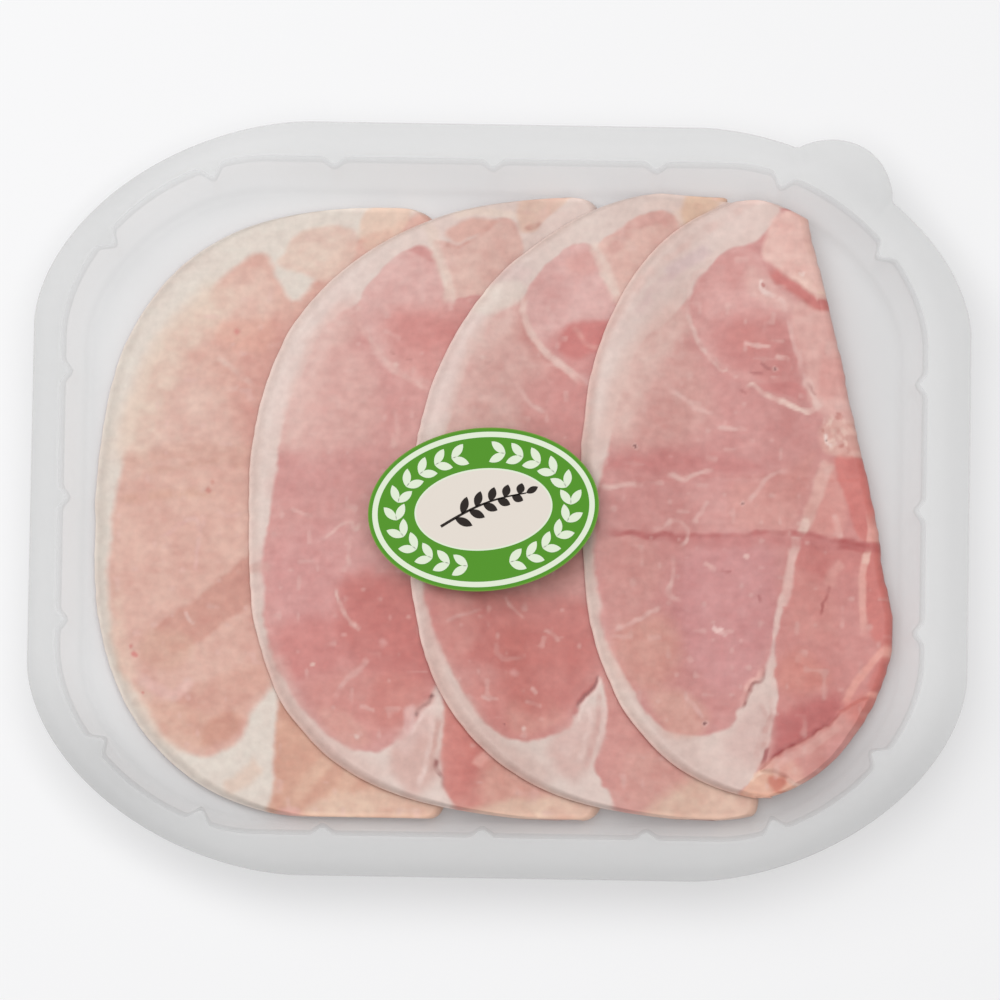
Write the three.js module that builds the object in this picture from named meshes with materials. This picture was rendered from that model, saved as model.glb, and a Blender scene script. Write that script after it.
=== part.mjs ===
// A sealed flat pack of cooked ham: a shallow clear tray with denting ribs and a peel tab,
// four folded slices laid like roof shingles, a lidding film and an oval label on the film.
// Millimetres, +Z up. The origin is at the middle of the tray's underside.
import * as THREE from "three";

// Tray: size over all, height, and the thickness of the formed sheet.
const LENGTH = 224;
const WIDTH = 182;
const HEIGHT = 18;
const SHEET = 0.6;
const SQUIRCLE = 1.8;
const OUTER = { x: 0, y: 0, halfX: LENGTH / 2, halfY: WIDTH / 2, cornerX: 65.5, cornerY: 50.2 };
const MOUTH = { x: -1.9, y: 0.6, halfX: 103, halfY: 81.4, cornerX: 47.7, cornerY: 43.7 };

// Section of the tray: how far each ring lies inside the mouth, and its height.
const INNER_WALL = [
  { inset: 8.2, z: SHEET },
  { inset: 6.4, z: SHEET + 0.6 },
  { inset: 5.4, z: SHEET + 2.0 },
  { inset: 0.9, z: HEIGHT - 1.2 },
  { inset: 0.3, z: HEIGHT - 0.35 },
  { inset: -0.6, z: HEIGHT },
];
const OUTER_WALL = [
  { inset: 7.8, z: 0 },
  { inset: 5.9, z: 0.6 },
  { inset: 4.8, z: SHEET + 1.8 },
  { inset: 0.3, z: HEIGHT - 1.5 },
  { inset: -1.2, z: HEIGHT - SHEET },
];

// Denting ribs: half the width of one, and how far it stands into the tray at the mouth.
const RIB_HALF = 3.1;
const SIDE_RIB = 1.9;
const CORNER_RIB = 3.0;
const RIB_FOOT = SHEET + 2.0;
const CORNER_RIB_ANGLES = [35, 71.5];
const CORNER_RIB_SPREAD = 4.2;
const LONG_SIDE_RIBS = [-39, -1, 38];
const SHORT_SIDE_RIBS = [-31, -1.5, 29];
const RIB_STEPS = [-1, -0.5, 0, 0.5, 1];

// Peel tab on the corner of the flange: its middle, half its width and how far it stands out.
const TAB_ANGLE = 55;
const TAB_HALF = 13;
const TAB_REACH = 7;
const TAB_FLATNESS = 0.4;
const TAB_CORNER = 0;

// Angles at which a corner has points besides those of its ribs.
const CORNER_ANGLES = [0, 10, 20, 50, 60, 82, 90];
const TAB_CORNER_ANGLES = [0, 10, 20, 26, 42, 44.5, 47, 50, 53, 56, 59, 62, 65, 82, 90];
const SIDE_BREAKS = [-0.36, 0.32];

// Slices: thickness, the gap between the two layers of a folded slice and at its fold,
// the clearance between slices, the length over which a slice comes down off its neighbour,
// the clearance to the wall, and the least width of a slice at its two ends.
const SLICE = 1.3;
const LAYER_GAP = 0.4;
const FOLD_GAP = 1.2;
const FOLD_REACH = 16;
const CLEAR = 0.7;
const RAMP = 33;
const WAVE = 0.2;
const FOLD_Y = -28;
const WALL_CLEAR = 0.6;
const RIB_CLEAR = 2.4;
const UNDER_INSET = 2.5;
const END_WIDTH = 8;

// Outline of each slice: its leftmost point, the height of that point, the two rounded
// quarters of its left edge, the width to the fold, how far the fold leans, bows out and
// flares at its foot, and the round corner there.
const SLICES = [
  {
    name: "slice_1",
    left: -96.9,
    belly: -10,
    shoulder: { x: 75, y: 83, power: 2.8 },
    heel: { x: 60, y: 65.5, power: 2.3 },
    width: 80,
    lean: -0.03,
    bow: 0,
    flare: 0.13,
    corner: { x: 6, y: 6 },
    wave: 0.4,
    colour: 0xddbfb2,
  },
  {
    name: "slice_2",
    left: -60.1,
    belly: 0,
    shoulder: { x: 90, y: 76.5, power: 2.46 },
    heel: { x: 84, y: 75, power: 2.88 },
    width: 81,
    lean: -0.02,
    bow: 0,
    flare: 0.13,
    corner: { x: 6, y: 6 },
    wave: 1.9,
    colour: 0xcd9a90,
  },
  {
    name: "slice_3",
    left: -21.4,
    belly: 0,
    shoulder: { x: 71.6, y: 78.5, power: 2.06 },
    heel: { x: 80, y: 74.5, power: 2.8 },
    width: 80,
    lean: -0.03,
    bow: 0,
    flare: 0.13,
    corner: { x: 6, y: 6 },
    wave: 3.3,
    colour: 0xcb948a,
  },
  {
    name: "slice_4",
    left: 19.3,
    belly: 10,
    shoulder: { x: 47, y: 66.6, power: 2.15 },
    heel: { x: 64.5, y: 80.6, power: 2.83 },
    width: 76,
    lean: 0.231,
    bow: 1.6,
    flare: 0,
    corner: { x: 38, y: 48 },
    wave: 5.2,
    colour: 0xd09a92,
  },
];
const ROWS = 19;
const END_ROW = 1;
const ACROSS = 12;
const FOLD_STEPS = 4;

// Folded-over corner of the last slice: the line along its edge, and how far it stands up.
const FLAP = { x: 60, y: -62, angle: 29, rise: 1.5, soft: 3 };

// Lidding film and the oval label on it.
const FILM = 0.3;
const LABEL = { x: -3.9, y: -2.4, long: 27.6, short: 19.7, tilt: 6.2, thick: 0.15 };

const radians = THREE.MathUtils.degToRad;
const clamp = THREE.MathUtils.clamp;

// 0 below the start of a range, 1 past its end, and smooth between.
function ease(value, start, end) {
  return THREE.MathUtils.smoothstep(value, start, end);
}

// --- closed surfaces from rings -------------------------------------------------------

// Joins rings of the same number of points into one closed skin. A ring runs anticlockwise
// seen from where the rings lead to. Both ends are closed by the triangles of a cap.
function skin(rings, cap) {
  const points = rings.flat();
  const size = rings[0].length;
  const index = [];
  for (let ring = 0; ring < rings.length - 1; ring += 1) {
    for (let k = 0; k < size; k += 1) {
      const next = (k + 1) % size;
      const a = ring * size + k;
      const b = ring * size + next;
      index.push(a, b, b + size, a, b + size, a + size);
    }
  }
  const last = (rings.length - 1) * size;
  for (const [a, b, c] of cap.faces) {
    index.push(at(c, 0), at(b, 0), at(a, 0), at(a, 1), at(b, 1), at(c, 1));
  }
  if (cap.middles) points.push(...cap.middles);
  const geometry = new THREE.BufferGeometry().setFromPoints(points);
  geometry.setIndex(index);
  geometry.computeVertexNormals();
  return geometry;

  // The place in the list of a cap's point: on its end ring, or the middle point of its end.
  function at(k, end) {
    return k < size ? last * end + k : last + size + end;
  }
}

// A flat lid over both end rings, as a fan round the middle of each.
function fanCap(rings) {
  const size = rings[0].length;
  const faces = rings[0].map((point, k) => [k, (k + 1) % size, size]);
  const middles = [rings[0], rings.at(-1)].map((ring) => {
    const sum = ring.reduce((total, point) => total.add(point), new THREE.Vector3());
    return sum.divideScalar(size);
  });
  return { faces, middles };
}

// A lid over the end of a sheet: the ring runs out along one face and back along the other.
function sheetCap(size) {
  const faces = [];
  for (let k = 0; k < size / 2 - 1; k += 1) {
    const across = size - 1 - k;
    faces.push([k, k + 1, across - 1], [k, across - 1, across]);
  }
  return { faces };
}

// --- rounded rectangles ---------------------------------------------------------------

// The corners in turn, and the corner at which the side after each one ends. In every other
// corner the angles run backwards, because they are counted from the long axis.
const CORNERS = [
  { x: 1, y: 1, turns: false },
  { x: -1, y: 1, turns: true },
  { x: -1, y: -1, turns: false },
  { x: 1, y: -1, turns: true },
];
const SIDE_ENDS = [
  [-1, 1],
  [-1, -1],
  [1, -1],
  [1, 1],
];

// One station of the rim in a corner: the angle in degrees and how far a rib stands in there.
function cornerStations(corner) {
  const plain = corner === TAB_CORNER ? TAB_CORNER_ANGLES : CORNER_ANGLES;
  const angles = plain.map((angle) => ({ angle, rib: 0 }));
  for (const middle of CORNER_RIB_ANGLES) {
    for (const step of RIB_STEPS) {
      const angle = middle + step * CORNER_RIB_SPREAD;
      angles.push({ angle, rib: CORNER_RIB * ribShape(step) });
    }
  }
  angles.sort((a, b) => a.angle - b.angle);
  if (CORNERS[corner].turns) angles.reverse();
  return angles.map((station) => ({ corner, ...station }));
}

// Stations along a straight side, with the ribs at their places in millimetres.
function sideStations(side) {
  const long = side % 2 === 0;
  const ribs = long ? LONG_SIDE_RIBS : SHORT_SIDE_RIBS;
  const half = long ? MOUTH.halfX - MOUTH.cornerX : MOUTH.halfY - MOUTH.cornerY;
  const stations = [];
  for (const middle of ribs) {
    for (const step of RIB_STEPS) {
      const along = (middle + step * RIB_HALF) / half;
      stations.push({ side, along, rib: SIDE_RIB * ribShape(step) });
    }
  }
  for (const along of SIDE_BREAKS) stations.push({ side, along, rib: 0 });
  stations.sort((a, b) => a.along - b.along);
  const forward = SIDE_ENDS[side][long ? 0 : 1] > 0;
  return forward ? stations : stations.reverse();
}

// A rib's outline seen from above: 1 at its middle, 0 at its edges.
function ribShape(step) {
  return 0.5 + 0.5 * Math.cos(Math.PI * step);
}

const STATIONS = [0, 1, 2, 3].flatMap((k) => [...cornerStations(k), ...sideStations(k)]);

// The point of a rounded rectangle at a station, moved inwards by an inset.
function rimPoint(shape, station, inset) {
  const straightX = shape.halfX - shape.cornerX;
  const straightY = shape.halfY - shape.cornerY;
  if (station.corner !== undefined) {
    const corner = CORNERS[station.corner];
    const angle = radians(station.angle);
    const reachX = (shape.cornerX - inset) * Math.cos(angle) ** (2 / SQUIRCLE);
    const reachY = (shape.cornerY - inset) * Math.sin(angle) ** (2 / SQUIRCLE);
    const x = shape.x + corner.x * (straightX + reachX);
    return new THREE.Vector2(x, shape.y + corner.y * (straightY + reachY));
  }
  const [endX, endY] = SIDE_ENDS[station.side];
  if (station.side % 2 === 0) {
    return new THREE.Vector2(
      shape.x + station.along * straightX,
      shape.y + endY * (shape.halfY - inset),
    );
  }
  return new THREE.Vector2(
    shape.x + endX * (shape.halfX - inset),
    shape.y + station.along * straightY,
  );
}

// The outer edge of flange and film, with the peel tab.
function outerEdge() {
  const middle = rimPoint(OUTER, { corner: TAB_CORNER, angle: TAB_ANGLE }, 0);
  return STATIONS.map((station) => {
    const point = rimPoint(OUTER, station, 0);
    const away = point.distanceTo(middle) / TAB_HALF;
    const rise = away < 1 ? TAB_REACH * ribShape(away) ** TAB_FLATNESS : 0;
    const inner = rimPoint(OUTER, station, 1);
    return point.add(point.clone().sub(inner).normalize().multiplyScalar(rise));
  });
}

function level(outline, z) {
  return outline.map((point) => new THREE.Vector3(point.x, point.y, z));
}

// --- tray -----------------------------------------------------------------------------

// A ring of the tray's wall. The ribs stand out fully at the mouth and die out at the floor.
function wallRing({ inset, z }) {
  return STATIONS.map((station) => {
    const point = rimPoint(MOUTH, station, inset + station.rib * ribShare(z));
    return new THREE.Vector3(point.x, point.y, z);
  });
}

function ribShare(z) {
  return clamp((z - RIB_FOOT) / (HEIGHT - RIB_FOOT), 0, 1);
}

function tray() {
  const edge = outerEdge();
  const rings = [
    ...OUTER_WALL.map(wallRing),
    level(edge, HEIGHT - SHEET),
    level(edge, HEIGHT),
    ...INNER_WALL.map(wallRing).reverse(),
  ];
  const material = new THREE.MeshStandardMaterial({
    color: 0xdedfe0,
    roughness: 0.15,
    metalness: 0,
    transparent: true,
    opacity: 0.45,
  });
  return named("tray", skin(rings, fanCap(rings)), material);
}

// How far the inner wall lies inside the mouth at a height.
function wallInset(z) {
  const last = INNER_WALL.length - 1;
  if (z <= INNER_WALL[0].z) return INNER_WALL[0].inset;
  for (let k = 0; k < last; k += 1) {
    const low = INNER_WALL[k];
    const high = INNER_WALL[k + 1];
    if (z <= high.z) {
      return THREE.MathUtils.mapLinear(z, low.z, high.z, low.inset, high.inset);
    }
  }
  return INNER_WALL[last].inset;
}

// The inset that keeps ham clear of the wall and its ribs at a height.
function clearInset(z) {
  return wallInset(z) + WALL_CLEAR + RIB_CLEAR * ribShare(z);
}

// How far ham can reach along the pack at a distance across it, at a height.
function wallReach(y, z) {
  const inset = clearInset(z);
  const past = Math.abs(y - MOUTH.y) - (MOUTH.halfY - MOUTH.cornerY);
  const share = clamp(past / (MOUTH.cornerY - inset), 0, 1);
  const reach = (1 - share ** SQUIRCLE) ** (1 / SQUIRCLE);
  return MOUTH.x + MOUTH.halfX - MOUTH.cornerX + (MOUTH.cornerX - inset) * reach;
}

// Moves a point of the ham inside the tray's wall at its own height.
function keepInside(point) {
  const inset = clearInset(point.z);
  const straightX = MOUTH.halfX - MOUTH.cornerX;
  const straightY = MOUTH.halfY - MOUTH.cornerY;
  let x = point.x - MOUTH.x;
  let y = point.y - MOUTH.y;
  x = clamp(x, inset - MOUTH.halfX, MOUTH.halfX - inset);
  y = clamp(y, inset - MOUTH.halfY, MOUTH.halfY - inset);
  const pastX = Math.abs(x) - straightX;
  const pastY = Math.abs(y) - straightY;
  if (pastX > 0 && pastY > 0) {
    const reachX = pastX / (MOUTH.cornerX - inset);
    const reachY = pastY / (MOUTH.cornerY - inset);
    const out = (reachX ** SQUIRCLE + reachY ** SQUIRCLE) ** (1 / SQUIRCLE);
    if (out > 1) {
      x = Math.sign(x) * (straightX + pastX / out);
      y = Math.sign(y) * (straightY + pastY / out);
    }
  }
  return new THREE.Vector3(x + MOUTH.x, y + MOUTH.y, point.z);
}

// --- ham ------------------------------------------------------------------------------

// Left edge of a slice at a distance along the pack.
function leftEdge(slice, y) {
  const quarter = y > slice.belly ? slice.shoulder : slice.heel;
  const rise = clamp(Math.abs(y - slice.belly) / quarter.y, 0, 1);
  const run = (1 - rise ** quarter.power) ** (1 / quarter.power);
  return slice.left + quarter.x * (1 - run);
}

// Line of a slice's fold: flared below a height, and leaning and bowed above it.
function foldLine(slice, y) {
  const above = Math.max(y - FOLD_Y, 0);
  const below = Math.max(FOLD_Y - y, 0);
  const bow = slice.bow * Math.sin((Math.PI * above) / (topOf(slice) - FOLD_Y));
  return slice.left + slice.width - slice.lean * above + slice.flare * below + bow;
}

// The fold with its round lower corner.
function foldEdge(slice, y) {
  const start = bottomOf(slice) + slice.corner.y;
  const drop = clamp((start - y) / slice.corner.y, 0, 1);
  return foldLine(slice, y) - slice.corner.x * (1 - Math.sqrt(1 - drop * drop));
}

function topOf(slice) {
  return slice.belly + slice.shoulder.y;
}

function bottomOf(slice) {
  return slice.belly - slice.heel.y;
}

// The gap between a slice's two layers, which opens towards the fold.
function layerGap(slice, x, y) {
  return LAYER_GAP + FOLD_GAP * (1 - ease(foldLine(slice, y) - x, 0, FOLD_REACH));
}

// What the slice with this number lies on: the floor, or the slice before it until past its
// fold, and from there a gentle way down.
function support(number, x, y) {
  const floor = SHEET + CLEAR;
  const slice = SLICES[number];
  const wave = WAVE * (1 + Math.sin(0.055 * y + slice.wave + 0.03 * x));
  if (number === 0) return floor + wave;
  const below = SLICES[number - 1];
  const inY = clamp(y, bottomOf(below) + 1, topOf(below) - 1);
  const fold = foldLine(below, inY);
  const top = surface(number - 1, Math.min(x, fold), inY) + CLEAR;
  return floor + wave + (top - floor) * (1 - ease(x, fold + 0.5, fold + RAMP));
}

// The upper face of a slice.
function surface(number, x, y) {
  const slice = SLICES[number];
  return support(number, x, y) + 2 * SLICE + layerGap(slice, x, y) + flapRise(number, x, y);
}

// The corner that is folded over on the last slice stands up by a layer.
function flapRise(number, x, y) {
  if (number !== SLICES.length - 1) return 0;
  const turn = radians(FLAP.angle);
  const past = (x - FLAP.x) * Math.sin(turn) - (y - FLAP.y) * Math.cos(turn);
  return FLAP.rise * ease(past, -FLAP.soft, FLAP.soft);
}

// Middle line of the folded sheet in one row: over the top, round the fold and back below.
function foldedLine(number, y) {
  const slice = SLICES[number];
  const left = leftEdge(slice, y);
  const edge = foldEdge(slice, y);
  const right = Math.min(edge, wallReach(y, support(number, edge, y)));
  const radius = (SLICE + layerGap(slice, right, y)) / 2;
  const turn = Math.max(right - radius - SLICE / 2, left + END_WIDTH);
  const line = [];
  for (let k = 0; k <= ACROSS; k += 1) {
    const x = THREE.MathUtils.lerp(left, turn, k / ACROSS);
    line.push(new THREE.Vector2(x, surface(number, x, y) - SLICE / 2));
  }
  const over = line.at(-1).y;
  const under = support(number, turn, y) + SLICE / 2;
  for (let k = 1; k < FOLD_STEPS; k += 1) {
    const angle = (Math.PI * k) / FOLD_STEPS;
    const middle = (over + under) / 2;
    const x = turn + radius * Math.sin(angle);
    line.push(new THREE.Vector2(x, middle + ((over - under) / 2) * Math.cos(angle)));
  }
  const start = Math.min(left + UNDER_INSET, turn - 1);
  for (let k = 0; k <= ACROSS; k += 1) {
    const x = THREE.MathUtils.lerp(turn, start, k / ACROSS);
    line.push(new THREE.Vector2(x, support(number, x, y) + SLICE / 2));
  }
  return line;
}

// The closed section of the sheet round its middle line.
function sheetRing(number, y) {
  const line = foldedLine(number, y);
  const outer = [];
  const inner = [];
  line.forEach((point, k) => {
    const before = line[Math.max(k - 1, 0)];
    const after = line[Math.min(k + 1, line.length - 1)];
    const along = after.clone().sub(before).normalize();
    const away = new THREE.Vector2(-along.y, along.x).multiplyScalar(SLICE / 2);
    outer.push(new THREE.Vector3(point.x + away.x, y, point.y + away.y));
    inner.push(new THREE.Vector3(point.x - away.x, y, point.y - away.y));
  });
  return [...outer, ...inner.reverse()].map(keepInside);
}

function hamSlice(number) {
  const slice = SLICES[number];
  const middle = (topOf(slice) + bottomOf(slice)) / 2;
  const reach = (topOf(slice) - bottomOf(slice)) / 2 - 0.6;
  const rings = [];
  for (let row = 0; row <= ROWS; row += 1) {
    const y = middle - reach * Math.cos((Math.PI * (row + END_ROW)) / (ROWS + 2 * END_ROW));
    rings.push(sheetRing(number, y));
  }
  const cap = sheetCap(rings[0].length);
  const material = new THREE.MeshStandardMaterial({
    color: slice.colour,
    roughness: 0.45,
    metalness: 0,
  });
  return named(slice.name, skin(rings, cap), material);
}

// --- film and label -------------------------------------------------------------------

function lidFilm() {
  const material = new THREE.MeshStandardMaterial({
    color: 0xe6e8ea,
    roughness: 0.1,
    metalness: 0,
    transparent: true,
    opacity: 0.25,
  });
  const edge = outerEdge();
  const rings = [level(edge, HEIGHT), level(edge, HEIGHT + FILM)];
  return named("lid_film", skin(rings, fanCap(rings)), material);
}

function label() {
  const shape = new THREE.Shape();
  const tilt = radians(LABEL.tilt);
  shape.absellipse(LABEL.x, LABEL.y, LABEL.long, LABEL.short, 0, 2 * Math.PI, false, tilt);
  const material = new THREE.MeshStandardMaterial({
    color: 0x55962a,
    roughness: 0.4,
    metalness: 0,
  });
  const geometry = new THREE.ExtrudeGeometry(shape, {
    depth: LABEL.thick,
    bevelEnabled: false,
    curveSegments: 32,
  });
  return named("label", geometry.translate(0, 0, HEIGHT + FILM), material);
}

function named(name, geometry, material) {
  const mesh = new THREE.Mesh(geometry, material);
  mesh.name = name;
  return mesh;
}

const pack = new THREE.Group();
pack.add(tray());
SLICES.forEach((slice, number) => pack.add(hamSlice(number)));
pack.add(lidFilm());
pack.add(label());

export default pack;
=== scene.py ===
# %% [markdown]
# # A sealed tray of cooked ham
#
# This lesson builds the look of a flat chilled pack: a clear formed tray with a peel tab,
# four folded slices of cooked ham laid like roof shingles, a lidding film, and an oval
# label on the film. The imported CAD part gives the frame, and every piece here stands
# exactly where the CAD piece stands. Lengths are millimetres until a mesh is made.
#
# The ham is the work of this lesson. Each slice is a real folded sheet with a fine mesh,
# and its fat, muscles, seams and veins are painted on that mesh with a few curves.

import math

import bpy
import numpy as np
from mathutils import Matrix, Vector


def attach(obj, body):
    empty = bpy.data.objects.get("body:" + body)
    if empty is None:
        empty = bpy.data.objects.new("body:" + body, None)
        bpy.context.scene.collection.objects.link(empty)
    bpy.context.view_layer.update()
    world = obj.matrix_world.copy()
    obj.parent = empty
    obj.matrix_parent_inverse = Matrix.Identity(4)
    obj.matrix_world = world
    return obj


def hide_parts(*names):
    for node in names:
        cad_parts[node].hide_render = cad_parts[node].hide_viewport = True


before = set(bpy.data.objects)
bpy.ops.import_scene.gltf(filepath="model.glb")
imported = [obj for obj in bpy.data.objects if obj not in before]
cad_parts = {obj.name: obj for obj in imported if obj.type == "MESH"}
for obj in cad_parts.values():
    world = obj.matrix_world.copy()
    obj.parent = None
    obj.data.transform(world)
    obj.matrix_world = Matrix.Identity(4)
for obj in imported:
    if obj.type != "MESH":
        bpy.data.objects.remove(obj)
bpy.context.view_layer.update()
MM = 0.001
print("CAD nodes:", sorted(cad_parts))


# %% [markdown]
# ## Colours and materials
#
# A finish is easiest to judge beside the photo, so colours are written as screen values
# from 0 to 255 and turned into the linear light that Blender works in. They could be typed
# as linear numbers, but those are hard to read. Most finishes are one Principled shader.

# %% Colour and shader helpers
def linear(colour):
    """The linear value of a screen colour."""
    share = np.asarray(colour, dtype=float) / 255.0
    low = share / 12.92
    high = ((share + 0.055) / 1.055) ** 2.4
    return np.where(share <= 0.04045, low, high)


def rgba(colour):
    return (*linear(colour), 1.0)


def new_material(name):
    material = bpy.data.materials.new(name)
    material.use_nodes = True
    tree = material.node_tree
    tree.nodes.clear()
    return material, tree


def add_node(tree, kind, **inputs):
    node = tree.nodes.new(kind)
    for key, value in inputs.items():
        node.inputs[key.replace("_", " ")].default_value = value
    return node


def output(tree, socket):
    end = tree.nodes.new("ShaderNodeOutputMaterial")
    tree.links.new(socket, end.inputs["Surface"])


def plain_material(name, colour, roughness, specular=0.5):
    material, tree = new_material(name)
    shader = add_node(tree, "ShaderNodeBsdfPrincipled", Roughness=roughness)
    shader.inputs["Base Color"].default_value = rgba(colour)
    shader.inputs["Specular IOR Level"].default_value = specular
    output(tree, shader.outputs["BSDF"])
    return material


print("a middle grey of 128 is", round(float(linear(128)), 3), "in linear light")


# %% [markdown]
# A piece could be pulled from a cube by hand, but everything in this pack is a stack of
# outlines, so each mesh is made from rings of points. A piece is given to the one body of
# the pack and gets its finishes, and the CAD nodes that it stands for are hidden.

# %% Mesh helpers
def add_piece(name, points, faces, materials, replaces=(), smooth=True):
    mesh = bpy.data.meshes.new(name)
    mesh.from_pydata((np.asarray(points) * MM).tolist(), [], faces)
    mesh.update()
    for material in materials:
        mesh.materials.append(material)
    mesh.polygons.foreach_set("use_smooth", [smooth] * len(mesh.polygons))
    piece = bpy.data.objects.new(name, mesh)
    bpy.context.scene.collection.objects.link(piece)
    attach(piece, "root")
    if replaces:
        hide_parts(*replaces)
    return piece


def ring_faces(rings, size):
    """Quads between rings of the same number of points."""
    start = np.arange(rings - 1)[:, None] * size
    here = np.arange(size)[None, :]
    there = (here + 1) % size
    quads = [start + here, start + there, start + size + there, start + size + here]
    return np.stack(quads, axis=-1).reshape(-1, 4).tolist()


def end_faces(points, size):
    """One face over the first ring, looking back, and one over the last ring."""
    last = len(points) - size
    return [list(range(size))[::-1], list(range(last, last + size))]


def paint_points(piece, layer_name, colour):
    """Stores a linear colour at each point of the mesh."""
    layer = piece.data.color_attributes.new(layer_name, "FLOAT_COLOR", "POINT")
    layer.data.foreach_set("color", np.column_stack([colour, np.ones(len(colour))]).ravel())


print("two rings of 4 points are joined by", len(ring_faces(2, 4)), "faces")

# %% [markdown]
# ## Camera, light and floor
#
# The pack was seen from almost straight above with a long lens, in a frame that is turned
# by one degree. The floor is pale and the light is broad and soft, so that the clear tray
# reads as pale grey and the ham shows no hard shadow. A sky picture could light it too, but
# two panels and an even world are easier to steer.

# %% Camera
ELEVATION = math.radians(81)
ROLL = math.radians(0.95)
DISTANCE = 4.0
FRAME_WIDTH = 0.2385
SENSOR = 36.0
FAR_CLIP = 20.0
AIM = Vector((0.0, 0.0, 0.018))

back = Vector((0.0, -math.cos(ELEVATION), math.sin(ELEVATION)))
level_right = Vector((1.0, 0.0, 0.0))
level_up = back.cross(level_right)
right = math.cos(ROLL) * level_right + math.sin(ROLL) * level_up
up = math.cos(ROLL) * level_up - math.sin(ROLL) * level_right
camera_data = bpy.data.cameras.new("camera")
camera_data.sensor_width = SENSOR
camera_data.lens = SENSOR * DISTANCE / FRAME_WIDTH
camera_data.clip_end = FAR_CLIP
camera = bpy.data.objects.new("camera", camera_data)
turn = Matrix((right, up, back)).transposed()
camera.matrix_world = Matrix.Translation(AIM + DISTANCE * back) @ turn.to_4x4()
bpy.context.scene.collection.objects.link(camera)
bpy.context.scene.camera = camera
bpy.context.scene.view_settings.view_transform = "Standard"
print("camera lens", round(camera_data.lens, 1), "mm")

# %% Light
WORLD_LIGHT = 0.4
PANELS = [
    # where it stands, how wide it is, and its power in watts
    ((-0.1, 0.1, 1.6), 1.4, 15.2),
    ((-0.9, 0.6, 1.2), 0.8, 4.0),
]

world = bpy.data.worlds.new("studio")
world.use_nodes = True
sky = world.node_tree.nodes["Background"]
sky.inputs["Color"].default_value = (1.0, 1.0, 1.0, 1.0)
sky.inputs["Strength"].default_value = WORLD_LIGHT
bpy.context.scene.world = world
for number, (place, width, power) in enumerate(PANELS):
    lamp_data = bpy.data.lights.new(f"panel_{number}", "AREA")
    lamp_data.size = width
    lamp_data.energy = power
    lamp = bpy.data.objects.new(f"panel_{number}", lamp_data)
    lamp.location = place
    lamp.rotation_euler = (AIM - Vector(place)).to_track_quat("-Z", "Y").to_euler()
    bpy.context.scene.collection.objects.link(lamp)
print("panels give", sum(panel[2] for panel in PANELS), "watts")

# %% Floor
FLOOR_HALF = 3.0
FLOOR_DROP = 0.0002
FLOOR_GLOW = 0.12
FLOOR_COLOUR = (232, 232, 233)
FLOOR_ROUGHNESS, FLOOR_SPECULAR = 0.6, 0.2

floor_mesh = bpy.data.meshes.new("floor")
floor_corners = [(-1, -1), (1, -1), (1, 1), (-1, 1)]
floor_points = [(x * FLOOR_HALF, y * FLOOR_HALF, -FLOOR_DROP) for x, y in floor_corners]
floor_mesh.from_pydata(floor_points, [], [(0, 1, 2, 3)])
floor_paint = plain_material("floor_paint", FLOOR_COLOUR, FLOOR_ROUGHNESS, FLOOR_SPECULAR)
# a faint glow of its own keeps the floor bright under the tray
floor_shader = floor_paint.node_tree.nodes["Principled BSDF"]
floor_shader.inputs["Emission Color"].default_value = (1.0, 1.0, 1.0, 1.0)
floor_shader.inputs["Emission Strength"].default_value = FLOOR_GLOW
floor_mesh.materials.append(floor_paint)
floor = bpy.data.objects.new("floor", floor_mesh)
bpy.context.scene.collection.objects.link(floor)
print("floor is", 2 * FLOOR_HALF, "m wide")


# %% [markdown]
# ## The tray
#
# The real tray is one sheet, formed by heat: a flat floor, a sloping wall and a flat flange.
# Denting ribs stand into the wall and die out at the floor. It could be one flat sheet with
# a Solidify modifier, but the ribs and rounded lips would then need many hand-placed loops.
# So the tray is a stack of rounded rectangles, outside and inside, each a little wider than
# the one below. Their corners are superellipses, which leave the sides more gently than
# arcs of a circle.

# %% Outlines of the tray
HEIGHT = 18.0
SHEET = 0.6
SQUIRCLE = 1.8
OUTER = {"x": 0.0, "y": 0.0, "half": (112.0, 91.0), "corner": (65.5, 50.2)}
MOUTH = {"x": -1.9, "y": 0.6, "half": (103.0, 81.4), "corner": (47.7, 43.7)}
RIB_HALF = 3.1
SIDE_RIB = 1.9
CORNER_RIB = 3.0
RIB_FOOT = SHEET + 2.0
CORNER_RIB_ANGLES = (35.0, 71.5)
CORNER_RIB_SPREAD = 4.2
SIDE_RIBS = ((-39.0, -1.0, 38.0), (-31.0, -1.5, 29.0))
CORNER_STEPS = 100
SIDE_STEPS = (90, 70)
# the corners in turn, as signs of x and y
CORNERS = ((1, 1), (-1, 1), (-1, -1), (1, -1))


def smoothstep(value, start, end):
    share = np.clip((value - start) / (end - start), 0.0, 1.0)
    return share * share * (3.0 - 2.0 * share)


def hump(step):
    """1 at the middle, 0 from one on, and round between."""
    return 0.5 + 0.5 * np.cos(np.pi * np.clip(np.abs(step), 0.0, 1.0))


def straight_part(shape):
    """Half the length of the straight sides, along x and y."""
    return [shape["half"][k] - shape["corner"][k] for k in (0, 1)]


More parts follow.
